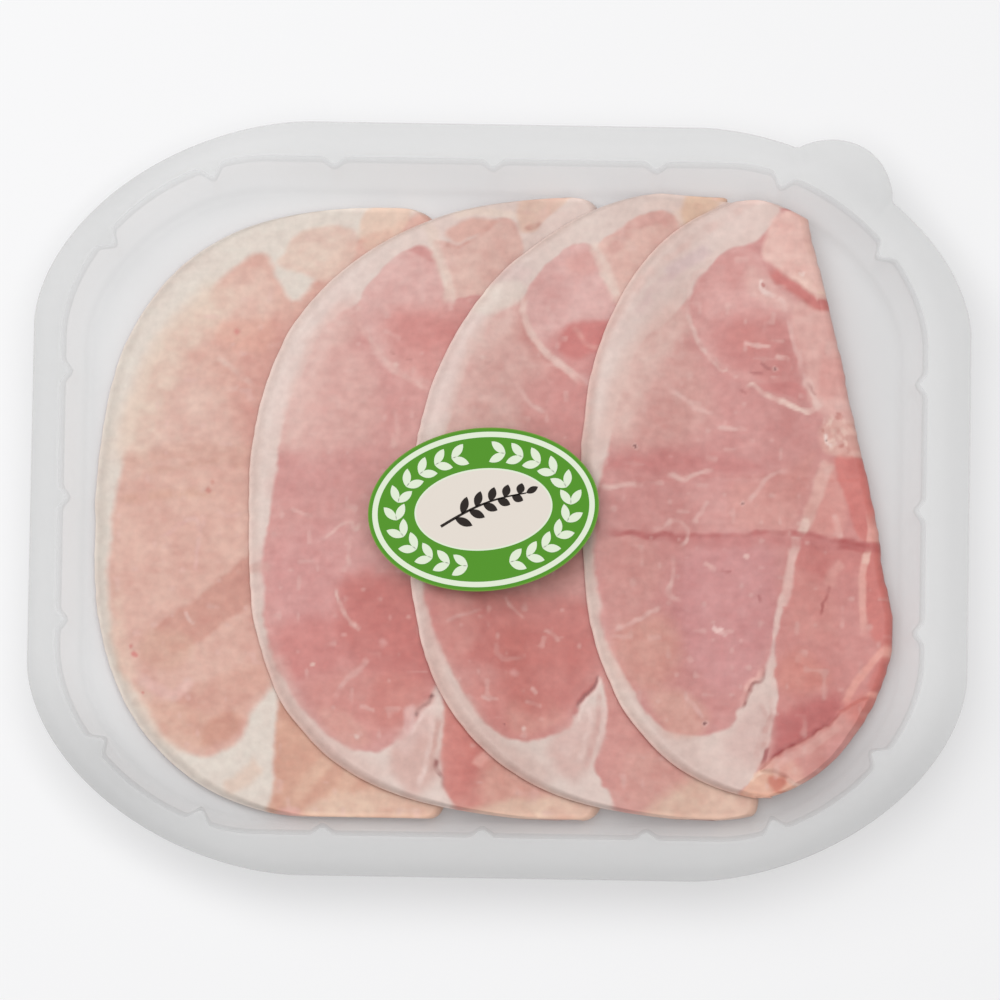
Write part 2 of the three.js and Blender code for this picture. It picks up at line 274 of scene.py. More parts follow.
def rim_outline(shape, inset=0.0, share=0.0):
    """Points round a rounded rectangle, moved in by an inset and by a share of the ribs."""
    parts = []
    straight = straight_part(shape)
    for number, (sign_x, sign_y) in enumerate(CORNERS):
        angle = np.linspace(0.0, 90.0, CORNER_STEPS)
        if number % 2:
            angle = angle[::-1]
        rib = sum(hump((angle - middle) / CORNER_RIB_SPREAD) for middle in CORNER_RIB_ANGLES)
        turned = np.radians(angle)
        reach = inset + share * CORNER_RIB * rib
        bend_x = np.abs(np.cos(turned)) ** (2.0 / SQUIRCLE)
        bend_y = np.abs(np.sin(turned)) ** (2.0 / SQUIRCLE)
        x = sign_x * (straight[0] + (shape["corner"][0] - reach) * bend_x)
        y = sign_y * (straight[1] + (shape["corner"][1] - reach) * bend_y)
        parts.append(np.stack([x, y], axis=1))
        # the straight side that follows the corner, which runs along x and y in turn
        side = number % 2
        far = CORNERS[(number + 1) % 4]
        start = (sign_x, sign_y)[side]
        along = np.linspace(start, far[side], SIDE_STEPS[side] + 2)[1:-1]
        places = along * straight_part(MOUTH)[side]
        rib = sum(hump((places - middle) / RIB_HALF) for middle in SIDE_RIBS[side])
        reach = shape["half"][1 - side] - inset - share * SIDE_RIB * rib
        across = (sign_y, sign_x)[side] * reach
        pair = [along * straight[side], across]
        if side:
            pair.reverse()
        parts.append(np.stack(pair, axis=1))
    return np.concatenate(parts) + (shape["x"], shape["y"])


print("stations round the tray:", len(rim_outline(MOUTH)))

# %% [markdown]
# On the real pack a corner of the flange and its film bulge out, so that a thumb can peel
# the film off. The tab could be a piece of its own, but then a seam would show where the
# sheet has none. So the outline itself is pushed out along its own outward direction.

# %% Outline with the peel tab
TAB_ANGLE = math.radians(55.0)
TAB_HALF = 13.0
TAB_REACH = 7.0
TAB_FLATNESS = 0.4


def outer_edge(inset=0.0):
    outline = rim_outline(OUTER, inset)
    inner = rim_outline(OUTER, inset + 1.0)
    away = outline - inner
    away /= np.linalg.norm(away, axis=1, keepdims=True)
    straight = straight_part(OUTER)
    bend = [math.cos(TAB_ANGLE), math.sin(TAB_ANGLE)]
    middle = [straight[k] + OUTER["corner"][k] * bend[k] ** (2.0 / SQUIRCLE) for k in (0, 1)]
    distance = np.linalg.norm(outline - middle, axis=1) / TAB_HALF
    rise = TAB_REACH * hump(distance) ** TAB_FLATNESS
    return outline + away * rise[:, None]


def at_height(outline, z):
    return np.column_stack([outline, np.full(len(outline), z)])


print("flange reaches", outer_edge().max(axis=0).round(2), "mm")

# %% [markdown]
# ## Clear plastic
#
# A clear sheet in front of a pale floor looks pale grey. Most of the light goes through, a
# small milky share scatters, and the gloss grows towards grazing views. Real glass shaders
# could do it, but they need many light bounces and time. A Transparent and a Principled
# shader mixed by the angle of view look the same on so thin a sheet. The flange is two
# sheets sealed on each other, so it is milkier than the wall.

# %% Plastic finishes
FACING_BLEND = 0.35
PLASTIC_SPECULAR = 0.4
TRAY_TONE_AND_SHADE = "tray_tone_and_shade"


def clear_plastic(name, milk, gloss, roughness, colour=None):
    """A see-through sheet. Without a colour it takes the tone and painted shade on the tray.

    The gloss is a share of the light, as seen from straight above and at a grazing angle.
    """
    material, tree = new_material(name)
    through = tree.nodes.new("ShaderNodeBsdfTransparent")
    body = add_node(tree, "ShaderNodeBsdfPrincipled", Roughness=roughness)
    body.inputs["Specular IOR Level"].default_value = PLASTIC_SPECULAR
    if colour:
        through.inputs["Color"].default_value = (1.0, 1.0, 1.0, 1.0)
        body.inputs["Base Color"].default_value = rgba(colour)
    else:
        tone = tree.nodes.new("ShaderNodeAttribute")
        tone.attribute_name = TRAY_TONE_AND_SHADE
        tree.links.new(tone.outputs["Color"], through.inputs["Color"])
        tree.links.new(tone.outputs["Color"], body.inputs["Base Color"])
    facing = add_node(tree, "ShaderNodeLayerWeight", Blend=FACING_BLEND)
    share = add_node(tree, "ShaderNodeMapRange")
    share.inputs["To Min"].default_value = milk + gloss[0]
    share.inputs["To Max"].default_value = milk + gloss[1]
    tree.links.new(facing.outputs["Facing"], share.inputs["Value"])
    mix = add_node(tree, "ShaderNodeMixShader")
    tree.links.new(share.outputs["Result"], mix.inputs[0])
    tree.links.new(through.outputs["BSDF"], mix.inputs[1])
    tree.links.new(body.outputs["BSDF"], mix.inputs[2])
    output(tree, mix.outputs["Shader"])
    return material


wall_plastic = clear_plastic("tray_wall", milk=0.05, gloss=(0.01, 0.16), roughness=0.18)
flange_plastic = clear_plastic("tray_flange", milk=0.30, gloss=(0.02, 0.25), roughness=0.22)
film_plastic = clear_plastic(
    "film_clear", milk=0.0, gloss=(0.01, 0.2), roughness=0.12, colour=(235, 236, 238)
)
print("plastics:", wall_plastic.name, flange_plastic.name, film_plastic.name)

# %% [markdown]
# The rings of the tray run from the middle of its underside out and up the outer wall, round
# the flange, down the inner wall and in to the middle of its floor. So the shell is closed
# and has a real thickness. Its tone is painted on its points, with painted shade: the flange
# is greyer than the wall, and painted shade makes it greyer still at its left, makes the
# sheet greyer at its right and its floor a little darker than its wall, makes the lip a
# little grey, and makes the whole near side a little darker.

# %% Rings of the tray
# how far each ring lies inside the mouth, and its height
INNER_WALL = [(8.2, 0.6), (7.0, 0.85), (6.4, 1.2), (5.8, 1.8), (5.4, 2.6)]
INNER_LIP = [(0.9, 16.8), (0.62, 17.3), (0.3, 17.65), (-0.1, 17.88), (-0.6, 18.0)]
OUTER_WALL = [(7.8, 0.0), (6.7, 0.2), (5.9, 0.6), (5.2, 1.4), (4.8, 2.4)]
OUTER_LIP = [(0.3, 16.5), (-0.4, 17.1), (-1.2, 17.4)]
WALL_STEPS = 12
FLOOR_SHARES = (0.97, 0.9, 0.75, 0.5, 0.25)
# the flange: where its two faces start, its rounded edge, and the height above which it lies
FLANGE_UNDER, FLANGE_TOP = -2.2, -1.6
EDGE_INSET = 0.15
EDGE_DROPS = (0.45, 0.15)
FLANGE_ABOVE = 17.0


def rib_share(z):
    return np.clip((z - RIB_FOOT) / (HEIGHT - RIB_FOOT), 0.0, 1.0)


def between(start, end, steps):
    """Steps of a straight wall between two rings, without its ends."""
    shares = np.linspace(0.0, 1.0, steps + 1)[1:-1]
    return [tuple(np.add(start, np.subtract(end, start) * share)) for share in shares]


def wall_ring(inset, z):
    return at_height(rim_outline(MOUTH, inset, rib_share(z)), z)


def flange_rings():
    """From under the flange round its edge to its top. Both faces start clear of the ribs."""
    edge = outer_edge(EDGE_INSET)
    return [
        at_height(rim_outline(MOUTH, FLANGE_UNDER), HEIGHT - SHEET),
        at_height(edge, HEIGHT - SHEET),
        *[at_height(outer_edge(), HEIGHT - drop) for drop in EDGE_DROPS],
        at_height(edge, HEIGHT),
        at_height(rim_outline(MOUTH, FLANGE_TOP), HEIGHT),
    ]


def tray_rings():
    """All rings, the first ring of the flange and the ring that follows it."""
    outer = OUTER_WALL + between(OUTER_WALL[-1], OUTER_LIP[0], WALL_STEPS) + OUTER_LIP
    inner = INNER_WALL + between(INNER_WALL[-1], INNER_LIP[0], WALL_STEPS) + INNER_LIP
    floor_out = wall_ring(*OUTER_WALL[0])
    floor_in = wall_ring(*INNER_WALL[0])
    rings = [floor_out * (share, share, 1.0) for share in reversed(FLOOR_SHARES)]
    rings += [wall_ring(*ring) for ring in outer]
    flange_start = len(rings) - 1
    rings += flange_rings()
    flange_end = len(rings)
    rings += [wall_ring(*ring) for ring in reversed(inner)]
    rings += [floor_in * (share, share, 1.0) for share in FLOOR_SHARES]
    return rings, flange_start, flange_end


print("the tray has", len(tray_rings()[0]), "rings")

# %% Build the tray
FLANGE_TONE = 0.91
# the floor of the tray is painted a little darker than its wall, as painted shade
SHADED_FLOOR_TONE = 0.965
WALL_TONE = 1.0
# painted shade: the flange darker at its left, the sheet at its right, the whole near side and the inner
# lip
LEFT_SHADE, RIGHT_SHADE, NEAR_SHADE = 0.035, 0.045, 0.08
# where a painted shade starts and where it is full: along y, along x, and up the wall
NEAR_BAND, SIDE_BAND, FOOT_BAND = (35.0, 75.0), (60.0, 95.0), (1.0, 6.0)
LIP_HEIGHT, LIP_HALF = 17.3, 0.8
LIP_SHADE, RIGHT_LIP_SHADE = 0.03, 0.05


def tray_tone_and_shade(points, is_flange, is_inside):
    x, y, z = points.T
    # painted shade by side, near the floor and at the lip, over the tone of each sheet
    near_side = smoothstep(-y, *NEAR_BAND)
    left_side, right_side = smoothstep(-x, *SIDE_BAND), smoothstep(x, *SIDE_BAND)
    lip = hump((z - LIP_HEIGHT) / LIP_HALF) * is_inside
    sheet = SHADED_FLOOR_TONE + (WALL_TONE - SHADED_FLOOR_TONE) * smoothstep(z, *FOOT_BAND)
    flange = FLANGE_TONE - LEFT_SHADE * left_side
    tone = np.where(is_flange, flange, sheet - RIGHT_SHADE * right_side)
    lip_shade = LIP_SHADE + RIGHT_LIP_SHADE * right_side
    return tone * ((1.0 - NEAR_SHADE * near_side) * (1.0 - lip_shade * lip))


def build_tray():
    rings, flange_start, flange_end = tray_rings()
    size = len(rings[0])
    points = np.concatenate(rings)
    faces = ring_faces(len(rings), size) + end_faces(points, size)
    plastics = [wall_plastic, flange_plastic]
    piece = add_piece("tray_shell", points, faces, plastics, ["tray"])
    index = np.zeros(len(faces), dtype=int)
    index[flange_start * size : flange_end * size] = 1
    piece.data.polygons.foreach_set("material_index", index)
    place = np.arange(len(points))
    is_flange = (points[:, 2] > FLANGE_ABOVE) & (place >= flange_start * size)
    tone = tray_tone_and_shade(points, is_flange, place >= flange_end * size)
    paint_points(piece, TRAY_TONE_AND_SHADE, np.column_stack([tone, tone, tone]))
    print("tray", len(points), "points; wall reach", round(float(points[:, 0].max()), 2))
    return piece


tray = build_tray()

# %% [markdown]
# ## The lidding film
#
# The real film is a tenth of a millimetre thick and sealed to the flange. It is almost
# invisible from above and shines at low angles. A single face could do, but a piece has to
# be a closed mesh, so it is a thin plate. Only its upper face shines, and its lower face
# lets all light through. It starts a hair above the flange, so that no two faces coincide.

# %% Build the film
FILM_LOW = HEIGHT + 0.03
FILM_TOP = HEIGHT + 0.3
# its edge is rounded: how far in its top ends, and where its upright part starts and ends
FILM_INSET = 0.12
FILM_RISE, FILM_DROP = 0.1, 0.08

film_back, back_tree = new_material("film_back")
output(back_tree, back_tree.nodes.new("ShaderNodeBsdfTransparent").outputs["BSDF"])


def build_film():
    rings = [
        at_height(outer_edge(EDGE_INSET), FILM_LOW),
        at_height(outer_edge(), FILM_LOW + FILM_RISE),
        at_height(outer_edge(), FILM_TOP - FILM_DROP),
        at_height(outer_edge(FILM_INSET), FILM_TOP),
    ]
    size = len(rings[0])
    points = np.concatenate(rings)
    faces = ring_faces(len(rings), size) + end_faces(points, size)
    piece = add_piece("film", points, faces, [film_plastic, film_back], ["lid_film"])
    lower_face = len(faces) - 2
    piece.data.polygons[lower_face].material_index = 1
    print("film", len(points), "points")
    return piece


film = build_film()
# the film casts no shadow, and light that was scattered once passes the clear sheets by
film.visible_shadow = False
film.visible_diffuse = False
tray.visible_diffuse = False

# %% [markdown]
# ## The label
#
# The label is a green oval with a pale line near its edge and a cream oval in its middle. A
# wreath of plain leaves runs round the green ring, and a dark sprig lies in the cream field.
# It could be one plate with a picture on it, but a picture blurs when it is seen from near.
# Here every field is a face with its own ink, and every leaf is a thin plate, raised by a
# few hundredths of a millimetre, so that it never flickers.

# %% Label inks
INK_ROUGHNESS, INK_SPECULAR = 0.5, 0.12
INK_COLOURS = {
    "label_green": (82, 148, 36),
    "label_pale": (226, 236, 214),
    "label_cream": (229, 220, 210),
    "label_edge": (112, 154, 56),
    "label_dark": (38, 30, 26),
}
LABEL_INKS = [
    plain_material(name, colour, INK_ROUGHNESS, INK_SPECULAR)
    for name, colour in INK_COLOURS.items()
]
GREEN, PALE, CREAM, OLIVE, DARK = range(len(LABEL_INKS))
print("inks:", ", ".join(INK_COLOURS))

# %% Build the label
LABEL = {"x": -3.9, "y": -2.4, "half": (27.6, 19.7), "tilt": math.radians(6.2)}
LABEL_LOW = FILM_TOP
LABEL_TOP = FILM_TOP + 0.12
PRINT_TOP = FILM_TOP + 0.15
# where each field of the label ends, as an inset from its edge, and its ink
FIELDS = [(0.25, OLIVE), (1.0, GREEN), (2.3, PALE)]
CENTRE_HALF = (16.5, 9.9)
CENTRE_LINE = 0.4
OVAL_STEPS = 180


def oval(half):
    angle = np.linspace(0.0, 2.0 * np.pi, OVAL_STEPS, endpoint=False)
    return np.column_stack([half[0] * np.cos(angle), half[1] * np.sin(angle)])


def on_label(points, z):
    """Turns points of the label's own plane into the pack's frame."""
    cosine, sine = math.cos(LABEL["tilt"]), math.sin(LABEL["tilt"])
    x = LABEL["x"] + points[:, 0] * cosine - points[:, 1] * sine
    y = LABEL["y"] + points[:, 0] * sine + points[:, 1] * cosine
    return np.column_stack([x, y, np.full(len(points), z)])


def build_label():
    half, centre = np.array(LABEL["half"]), np.array(CENTRE_HALF)
    reaches = [half] + [half - inset for inset, _ in FIELDS] + [centre, centre - CENTRE_LINE]
    inks = [OLIVE] + [ink for _, ink in FIELDS] + [GREEN, PALE]
    rings = [on_label(oval(half), LABEL_LOW)]
    rings += [on_label(oval(reach), LABEL_TOP) for reach in reaches]
    points = np.concatenate(rings)
    faces = ring_faces(len(rings), OVAL_STEPS) + end_faces(points, OVAL_STEPS)
    index = np.repeat(inks, OVAL_STEPS).tolist() + [OLIVE, CREAM]
    piece = add_piece("label_oval", points, faces, LABEL_INKS, ["label"], False)
    piece.data.polygons.foreach_set("material_index", index)
    print("label", len(points), "points")


build_label()

# %% [markdown]
# The leaves are outlines in the label's own plane, which a helper turns into thin plates.
# The wreath is two mirrored halves. Its leaves could stand at even angles, but on an oval
# they would crowd at the narrow ends, so they stand at even distances along its length.

# %% Leaves and stems
LEAF_STEPS = 9
LEAF_ROUNDNESS = 0.8
STEM_END = 0.45


def leaf(x, y, heading, length, width):
    """A pointed leaf as an outline, from its stem end."""
    along = np.linspace(0.0, 1.0, LEAF_STEPS)
    swell = width / 2.0 * np.sin(np.pi * along) ** LEAF_ROUNDNESS
    side_a = np.column_stack([along * length, swell])
    side_b = np.column_stack([along * length, -swell])[::-1][1:-1]
    outline = np.concatenate([side_b[::-1], side_a[::-1]])
    cosine, sine = math.cos(heading), math.sin(heading)
    turned = outline @ np.array([[cosine, sine], [-sine, cosine]])
    return turned + (x, y)


def ribbon(path, width):
    """A narrow strip along a path, tapering to its far end."""
    path = np.asarray(path, dtype=float)
    along = np.gradient(path, axis=0)
    along /= np.linalg.norm(along, axis=1, keepdims=True)
    away = np.column_stack([-along[:, 1], along[:, 0]])
    taper = np.linspace(1.0, STEM_END, len(path))[:, None] * width / 2.0
    return np.concatenate([path - away * taper, (path + away * taper)[::-1]])


def build_print(name, shapes, ink):
    points, faces = [], []
    for outline in shapes:
        size, first = len(outline), len(points)
        points += on_label(outline, LABEL_TOP).tolist() + on_label(outline, PRINT_TOP).tolist()
        faces += [[first + k for k in face] for face in ring_faces(2, size)]
        faces.append([first + k for k in range(size)][::-1])
        faces.append([first + size + k for k in range(size)])
    add_piece(name, points, faces, [LABEL_INKS[ink]], [], False)
    print(name, len(shapes), "shapes")


# %% Build the wreath and the sprig
WREATH_LEAVES = 11
WREATH_FOOT, WREATH_HEAD = 5.0, 6.5
WREATH_LEAF = (4.4, 2.0)
WREATH_LEAN = 0.6
FINE_STEPS = 721
SPRIG_STEPS = 13
SPRIG_START, SPRIG_RUN = (-10.5, -3.2), (21.0, 6.0)
SPRIG_BOW, SPRIG_TURN = 1.5, 3.0
SPRIG_STEM = 0.7
SPRIG_HEADING, SPRIG_LEAN = 0.35, 0.85
# a leaf's length at the foot, what each step takes from it, and its width
SPRIG_LEAF = (5.0, 0.2, 2.0)
TIP_LEAF = (0.4, 3.2, 1.6)


def wreath():
    """Pairs of leaves along the green ring, in two halves that are open at their ends."""
    shapes = []
    border = FIELDS[-1][0]
    wide, high = [(LABEL["half"][k] - border + CENTRE_HALF[k]) / 2.0 for k in (0, 1)]
    # the oval's length is measured in fine steps, so that the leaves stand evenly along it
    angle = np.radians(np.linspace(-90.0, 90.0, FINE_STEPS))
    path = np.column_stack([wide * np.cos(angle), high * np.sin(angle)])
    steps = np.linalg.norm(np.diff(path, axis=0), axis=1)
    length = np.concatenate([[0.0], np.cumsum(steps)])
    for spot in np.linspace(WREATH_FOOT, length[-1] - WREATH_HEAD, WREATH_LEAVES):
        turned = np.interp(spot, length, angle)
        x, y = wide * math.cos(turned), high * math.sin(turned)
        along = math.atan2(high * math.cos(turned), -wide * math.sin(turned))
        for lean in (WREATH_LEAN, -WREATH_LEAN):
            shapes.append(leaf(x, y, along + lean, *WREATH_LEAF))
            shapes.append(leaf(-x, y, math.pi - along - lean, *WREATH_LEAF))
    return shapes


def sprig():
    """A curved stem with a leaf at each step, left and right in turn, and one at its tip."""
    stem = []
    for t in np.linspace(0, 1, SPRIG_STEPS):
        bow = SPRIG_BOW * math.sin(SPRIG_TURN * t)
        x, y = [SPRIG_START[k] + SPRIG_RUN[k] * t for k in (0, 1)]
        stem.append((x, y + bow))
    shapes = [ribbon(stem, SPRIG_STEM)]
    length, less, width = SPRIG_LEAF
    for step in range(2, SPRIG_STEPS - 1):
        lean = SPRIG_LEAN if step % 2 else -SPRIG_LEAN
        shapes.append(leaf(*stem[step], SPRIG_HEADING + lean, length - less * step, width))
    shapes.append(leaf(*stem[-1], *TIP_LEAF))
    return shapes


build_print("label_wreath", wreath(), PALE)
build_print("label_sprig", sprig(), DARK)

# %% [markdown]
# ## The form of a slice
#
# A real slice is one soft sheet, a little over a millimetre thick, folded once at its right
# side. It lies on the floor and on the slice before it, and comes gently down beyond that
# slice's fold. It could be dropped as cloth, but that comes out otherwise at each change.
# These few functions give its edges and its height at any point, so no slice cuts another.

# %% Slice outlines
SLICE = 1.3
FOLD_Y = -28.0
# The left edge is two rounded quarters, the shoulder above the belly and the heel below it:
# each has its reach in x, its reach in y and its power. The right side is the fold.
SLICES = [
    {
        "left": -96.9, "belly": -10.0, "shoulder": (75.0, 83.0, 2.8), "heel": (60.0, 65.5, 2.3),
        "width": 80.0, "lean": -0.03, "bow": 0.0, "flare": 0.13, "corner": (6.0, 6.0), "wave": 0.4,
    },
    {
        "left": -60.1, "belly": 0.0, "shoulder": (90.0, 76.5, 2.46), "heel": (84.0, 75.0, 2.88),
        "width": 81.0, "lean": -0.02, "bow": 0.0, "flare": 0.13, "corner": (6.0, 6.0), "wave": 1.9,
    },
    {
        "left": -21.4, "belly": 0.0, "shoulder": (71.6, 78.5, 2.06), "heel": (80.0, 74.5, 2.8),
        "width": 80.0, "lean": -0.03, "bow": 0.0, "flare": 0.13, "corner": (6.0, 6.0), "wave": 3.3,
    },
    {
        "left": 19.3, "belly": 10.0, "shoulder": (47.0, 66.6, 2.15), "heel": (64.5, 80.6, 2.83),
        "width": 76.0, "lean": 0.231, "bow": 1.6, "flare": 0.0, "corner": (38.0, 48.0), "wave": 5.2,
    },
]
LAST = len(SLICES) - 1


def ends(piece):
    """The lowest and highest y of a slice."""
    return piece["belly"] - piece["heel"][1], piece["belly"] + piece["shoulder"][1]


def left_edge(piece, y):
    upper = y > piece["belly"]
    reach_x, reach_y, power = [
        np.where(upper, piece["shoulder"][k], piece["heel"][k]) for k in range(3)
    ]
    rise = np.clip(np.abs(y - piece["belly"]) / reach_y, 0.0, 1.0)
    return piece["left"] + reach_x * (1.0 - (1.0 - rise**power) ** (1.0 / power))


def fold_line(piece, y):
    above = np.maximum(y - FOLD_Y, 0.0)
    below = np.maximum(FOLD_Y - y, 0.0)
    bow = piece["bow"] * np.sin(np.pi * above / (ends(piece)[1] - FOLD_Y))
    return piece["left"] + piece["width"] - piece["lean"] * above + piece["flare"] * below + bow


def fold_edge(piece, y):
    """The fold line with its rounded lower corner."""
    corner_x, corner_y = piece["corner"]
    drop = np.clip((ends(piece)[0] + corner_y - y) / corner_y, 0.0, 1.0)
    return fold_line(piece, y) - corner_x * (1.0 - np.sqrt(1.0 - drop * drop))


for number, piece in enumerate(SLICES):
    print("slice", number + 1, "is", round(sum(np.abs(ends(piece))), 1), "mm long")

# %% Slice heights
LAYER_GAP = 0.4
FOLD_GAP = 1.2
FOLD_REACH = 16.0
CLEAR = 0.7
RAMP = 33.0
RAMP_START = 0.5
END_MARGIN = 1.0
WAVE = 0.2
WAVE_ALONG, WAVE_ACROSS = 0.055, 0.03


def layer_gap(piece, x, y):
    """The air between the two layers, which is widest in the fold."""
    return LAYER_GAP + FOLD_GAP * (1.0 - smoothstep(fold_line(piece, y) - x, 0.0, FOLD_REACH))


def support(number, x, y):
    """What a slice lies on: the floor, or the slice before it and then a gentle way down."""
    floor_level = SHEET + CLEAR
    piece = SLICES[number]
    wave = WAVE * (1.0 + np.sin(WAVE_ALONG * y + piece["wave"] + WAVE_ACROSS * x))
    if number == 0:
        return floor_level + wave
    below = SLICES[number - 1]
    low, high = ends(below)
    in_y = np.clip(y, low + END_MARGIN, high - END_MARGIN)
    fold = fold_line(below, in_y)
    top = surface(number - 1, np.minimum(x, fold), in_y) + CLEAR
    way_down = 1.0 - smoothstep(x, fold + RAMP_START, fold + RAMP)
    return floor_level + wave + (top - floor_level) * way_down


def surface(number, x, y):
    piece = SLICES[number]
    return support(number, x, y) + 2.0 * SLICE + layer_gap(piece, x, y)


for number, piece in enumerate(SLICES):
    mid = (piece["left"] + 30.0, 0.0)
    print("slice", number + 1, "top at", round(float(surface(number, *mid)), 2), "mm")

# %% [markdown]
# The slices fill the mouth of the tray, and their ends touch its wall on the real pack. Here
# they keep a little room, so that no point of them cuts the wall or its ribs. A Boolean cut
# could trim them, but moving their points inwards keeps the edges round.

# %% Clear of the wall
WALL_PROFILE = [(8.2, 0.6), (6.4, 1.2), (5.4, 2.6), (0.9, 16.8), (0.3, 17.65), (-0.6, 18.0)]
WALL_CLEAR = 0.6
RIB_CLEAR = 2.4


def clear_inset(z):
    heights = [ring[1] for ring in WALL_PROFILE]
    insets = [ring[0] for ring in WALL_PROFILE]
    return np.interp(z, heights, insets) + WALL_CLEAR + RIB_CLEAR * rib_share(z)


def wall_reach(y, z):
    """How far right the ham may go in a row at its own height."""
    inset = clear_inset(z)
    corner_x, corner_y = MOUTH["corner"]
    past = np.abs(y - MOUTH["y"]) - (MOUTH["half"][1] - corner_y)
    share = np.clip(past / (corner_y - inset), 0.0, 1.0)
    reach = (1.0 - share**SQUIRCLE) ** (1.0 / SQUIRCLE)
    return MOUTH["x"] + MOUTH["half"][0] - corner_x + (corner_x - inset) * reach


def keep_inside(points):
    """Moves points of the ham inside the tray's wall at their own height."""
    inset = clear_inset(points[..., 2])
    local = points[..., :2] - (MOUTH["x"], MOUTH["y"])
    limits = np.stack([MOUTH["half"][0] - inset, MOUTH["half"][1] - inset], axis=-1)
    local = np.clip(local, -limits, limits)
    straight = np.array(straight_part(MOUTH))
    corner = np.stack([MOUTH["corner"][0] - inset, MOUTH["corner"][1] - inset], axis=-1)
    past = np.abs(local) - straight
    share = np.clip(past / corner, 0.0, None) ** SQUIRCLE
    out = share.sum(axis=-1) ** (1.0 / SQUIRCLE)
    beyond = (past > 0.0).all(axis=-1) & (out > 1.0)
    pulled = np.sign(local) * (straight + past / np.maximum(out, 1.0)[..., None])
    local = np.where(beyond[..., None], pulled, local)
    inside = points.copy()
    inside[..., :2] = local + (MOUTH["x"], MOUTH["y"])
    return inside


print("the wall lets the ham reach x =", round(float(wall_reach(0.0, 5.0)), 1), "mm")

# %% [markdown]
# ## Painting on a slice
#
# Fat, muscle and seams are inside the meat, so they need colour and a little relief, and no
# shapes of their own. A picture of ham could be laid on, but this lesson draws everything
# itself. A canvas holds the fine grid of a slice's upper face: u runs to the right from the
# slice's leftmost point, and v is the pack's y, both in millimetres. A patch fills an
# outline and a line follows a path. After the points come the width of a line, the colour,
# how far the edge fades, how strong the paint is, and how far the meat is lifted. A patch
# can also mark lean meat, which the finish treats otherwise than fat.

# %% Smooth noise and smooth curves
NOISE_CELLS = 64
NOISE_START = 300.0


def mottle(u, v, size, seed):
    """Smooth noise from -1 to 1 whose spots are about as wide as size."""
    lattice = np.random.default_rng(seed).uniform(-1.0, 1.0, (NOISE_CELLS, NOISE_CELLS))
    x, y = (u + NOISE_START) / size, (v + NOISE_START) / size
    column, row = np.floor(x).astype(int), np.floor(y).astype(int)
    share_x, share_y = smoothstep(x - column, 0.0, 1.0), smoothstep(y - row, 0.0, 1.0)
    left, low = column % NOISE_CELLS, row % NOISE_CELLS
    beside, above = (left + 1) % NOISE_CELLS, (low + 1) % NOISE_CELLS
    bottom = lattice[low, left] * (1.0 - share_x) + lattice[low, beside] * share_x
    top = lattice[above, left] * (1.0 - share_x) + lattice[above, beside] * share_x
    return bottom * (1.0 - share_y) + top * share_y


def smooth_path(points, closed, steps=5):
    """A Catmull-Rom curve through the points."""
    points = np.asarray(points, dtype=float)
    if closed:
        before, after, ahead = (np.roll(points, k, axis=0) for k in (1, -1, -2))
        here = points
    else:
        padded = np.vstack([2 * points[0] - points[1], points, 2 * points[-1] - points[-2]])
        before, here, after, ahead = (padded[k : len(padded) - 3 + k] for k in range(4))
    t = np.linspace(0.0, 1.0, steps, endpoint=False)[None, :, None]
    before, here, after, ahead = (group[:, None, :] for group in (before, here, after, ahead))
    curve = 0.5 * (
        2 * here
        + (after - before) * t
        + (2 * before - 5 * here + 4 * after - ahead) * t**2
        + (3 * here - before - 3 * after + ahead) * t**3
    )
    curve = curve.reshape(-1, 2)
    return curve if closed else np.vstack([curve, points[-1]])


print("a closed curve through 4 points has", len(smooth_path(np.eye(4)[:, :2], True)), "points")

# %% Canvas
# the grid is bent by wide and by fine waves, so that no edge looks drawn: reach and size
WIDE_BEND = (0.45, 4.0)
FINE_BEND = (0.22, 1.3)
# a line under this width is narrowed, and breaks off here and there: its strength is a
# least share, and more of it where it is whole
THIN = 1.0
THIN_WIDTH = 0.6
THIN_STRENGTH = (0.3, 0.5)
BREAK_SIZE, BREAK_BAND = 1.9, (-0.6, 0.5)
FAR = 1e9


def bend(start, u, v, seed):
    wide = WIDE_BEND[0] * mottle(u, v, WIDE_BEND[1], seed)
    fine = FINE_BEND[0] * mottle(u, v, FINE_BEND[1], seed + 1)
    return start + wide + fine


def to_segment(u, v, start, end):
    """The squared distance to a straight piece of a path, and the share along it."""
    (x0, y0), (across, rise) = start, end - start
    length = max(across**2 + rise**2, 1e-9)
    t = np.clip(((u - x0) * across + (v - y0) * rise) / length, 0.0, 1.0)
    return (u - x0 - across * t) ** 2 + (v - y0 - rise * t) ** 2, t


def shifted(path, u, v):
    """A path moved by a small step, for the lit or shaded side of an edge."""
    return [(x + u, y + v) for x, y in path]


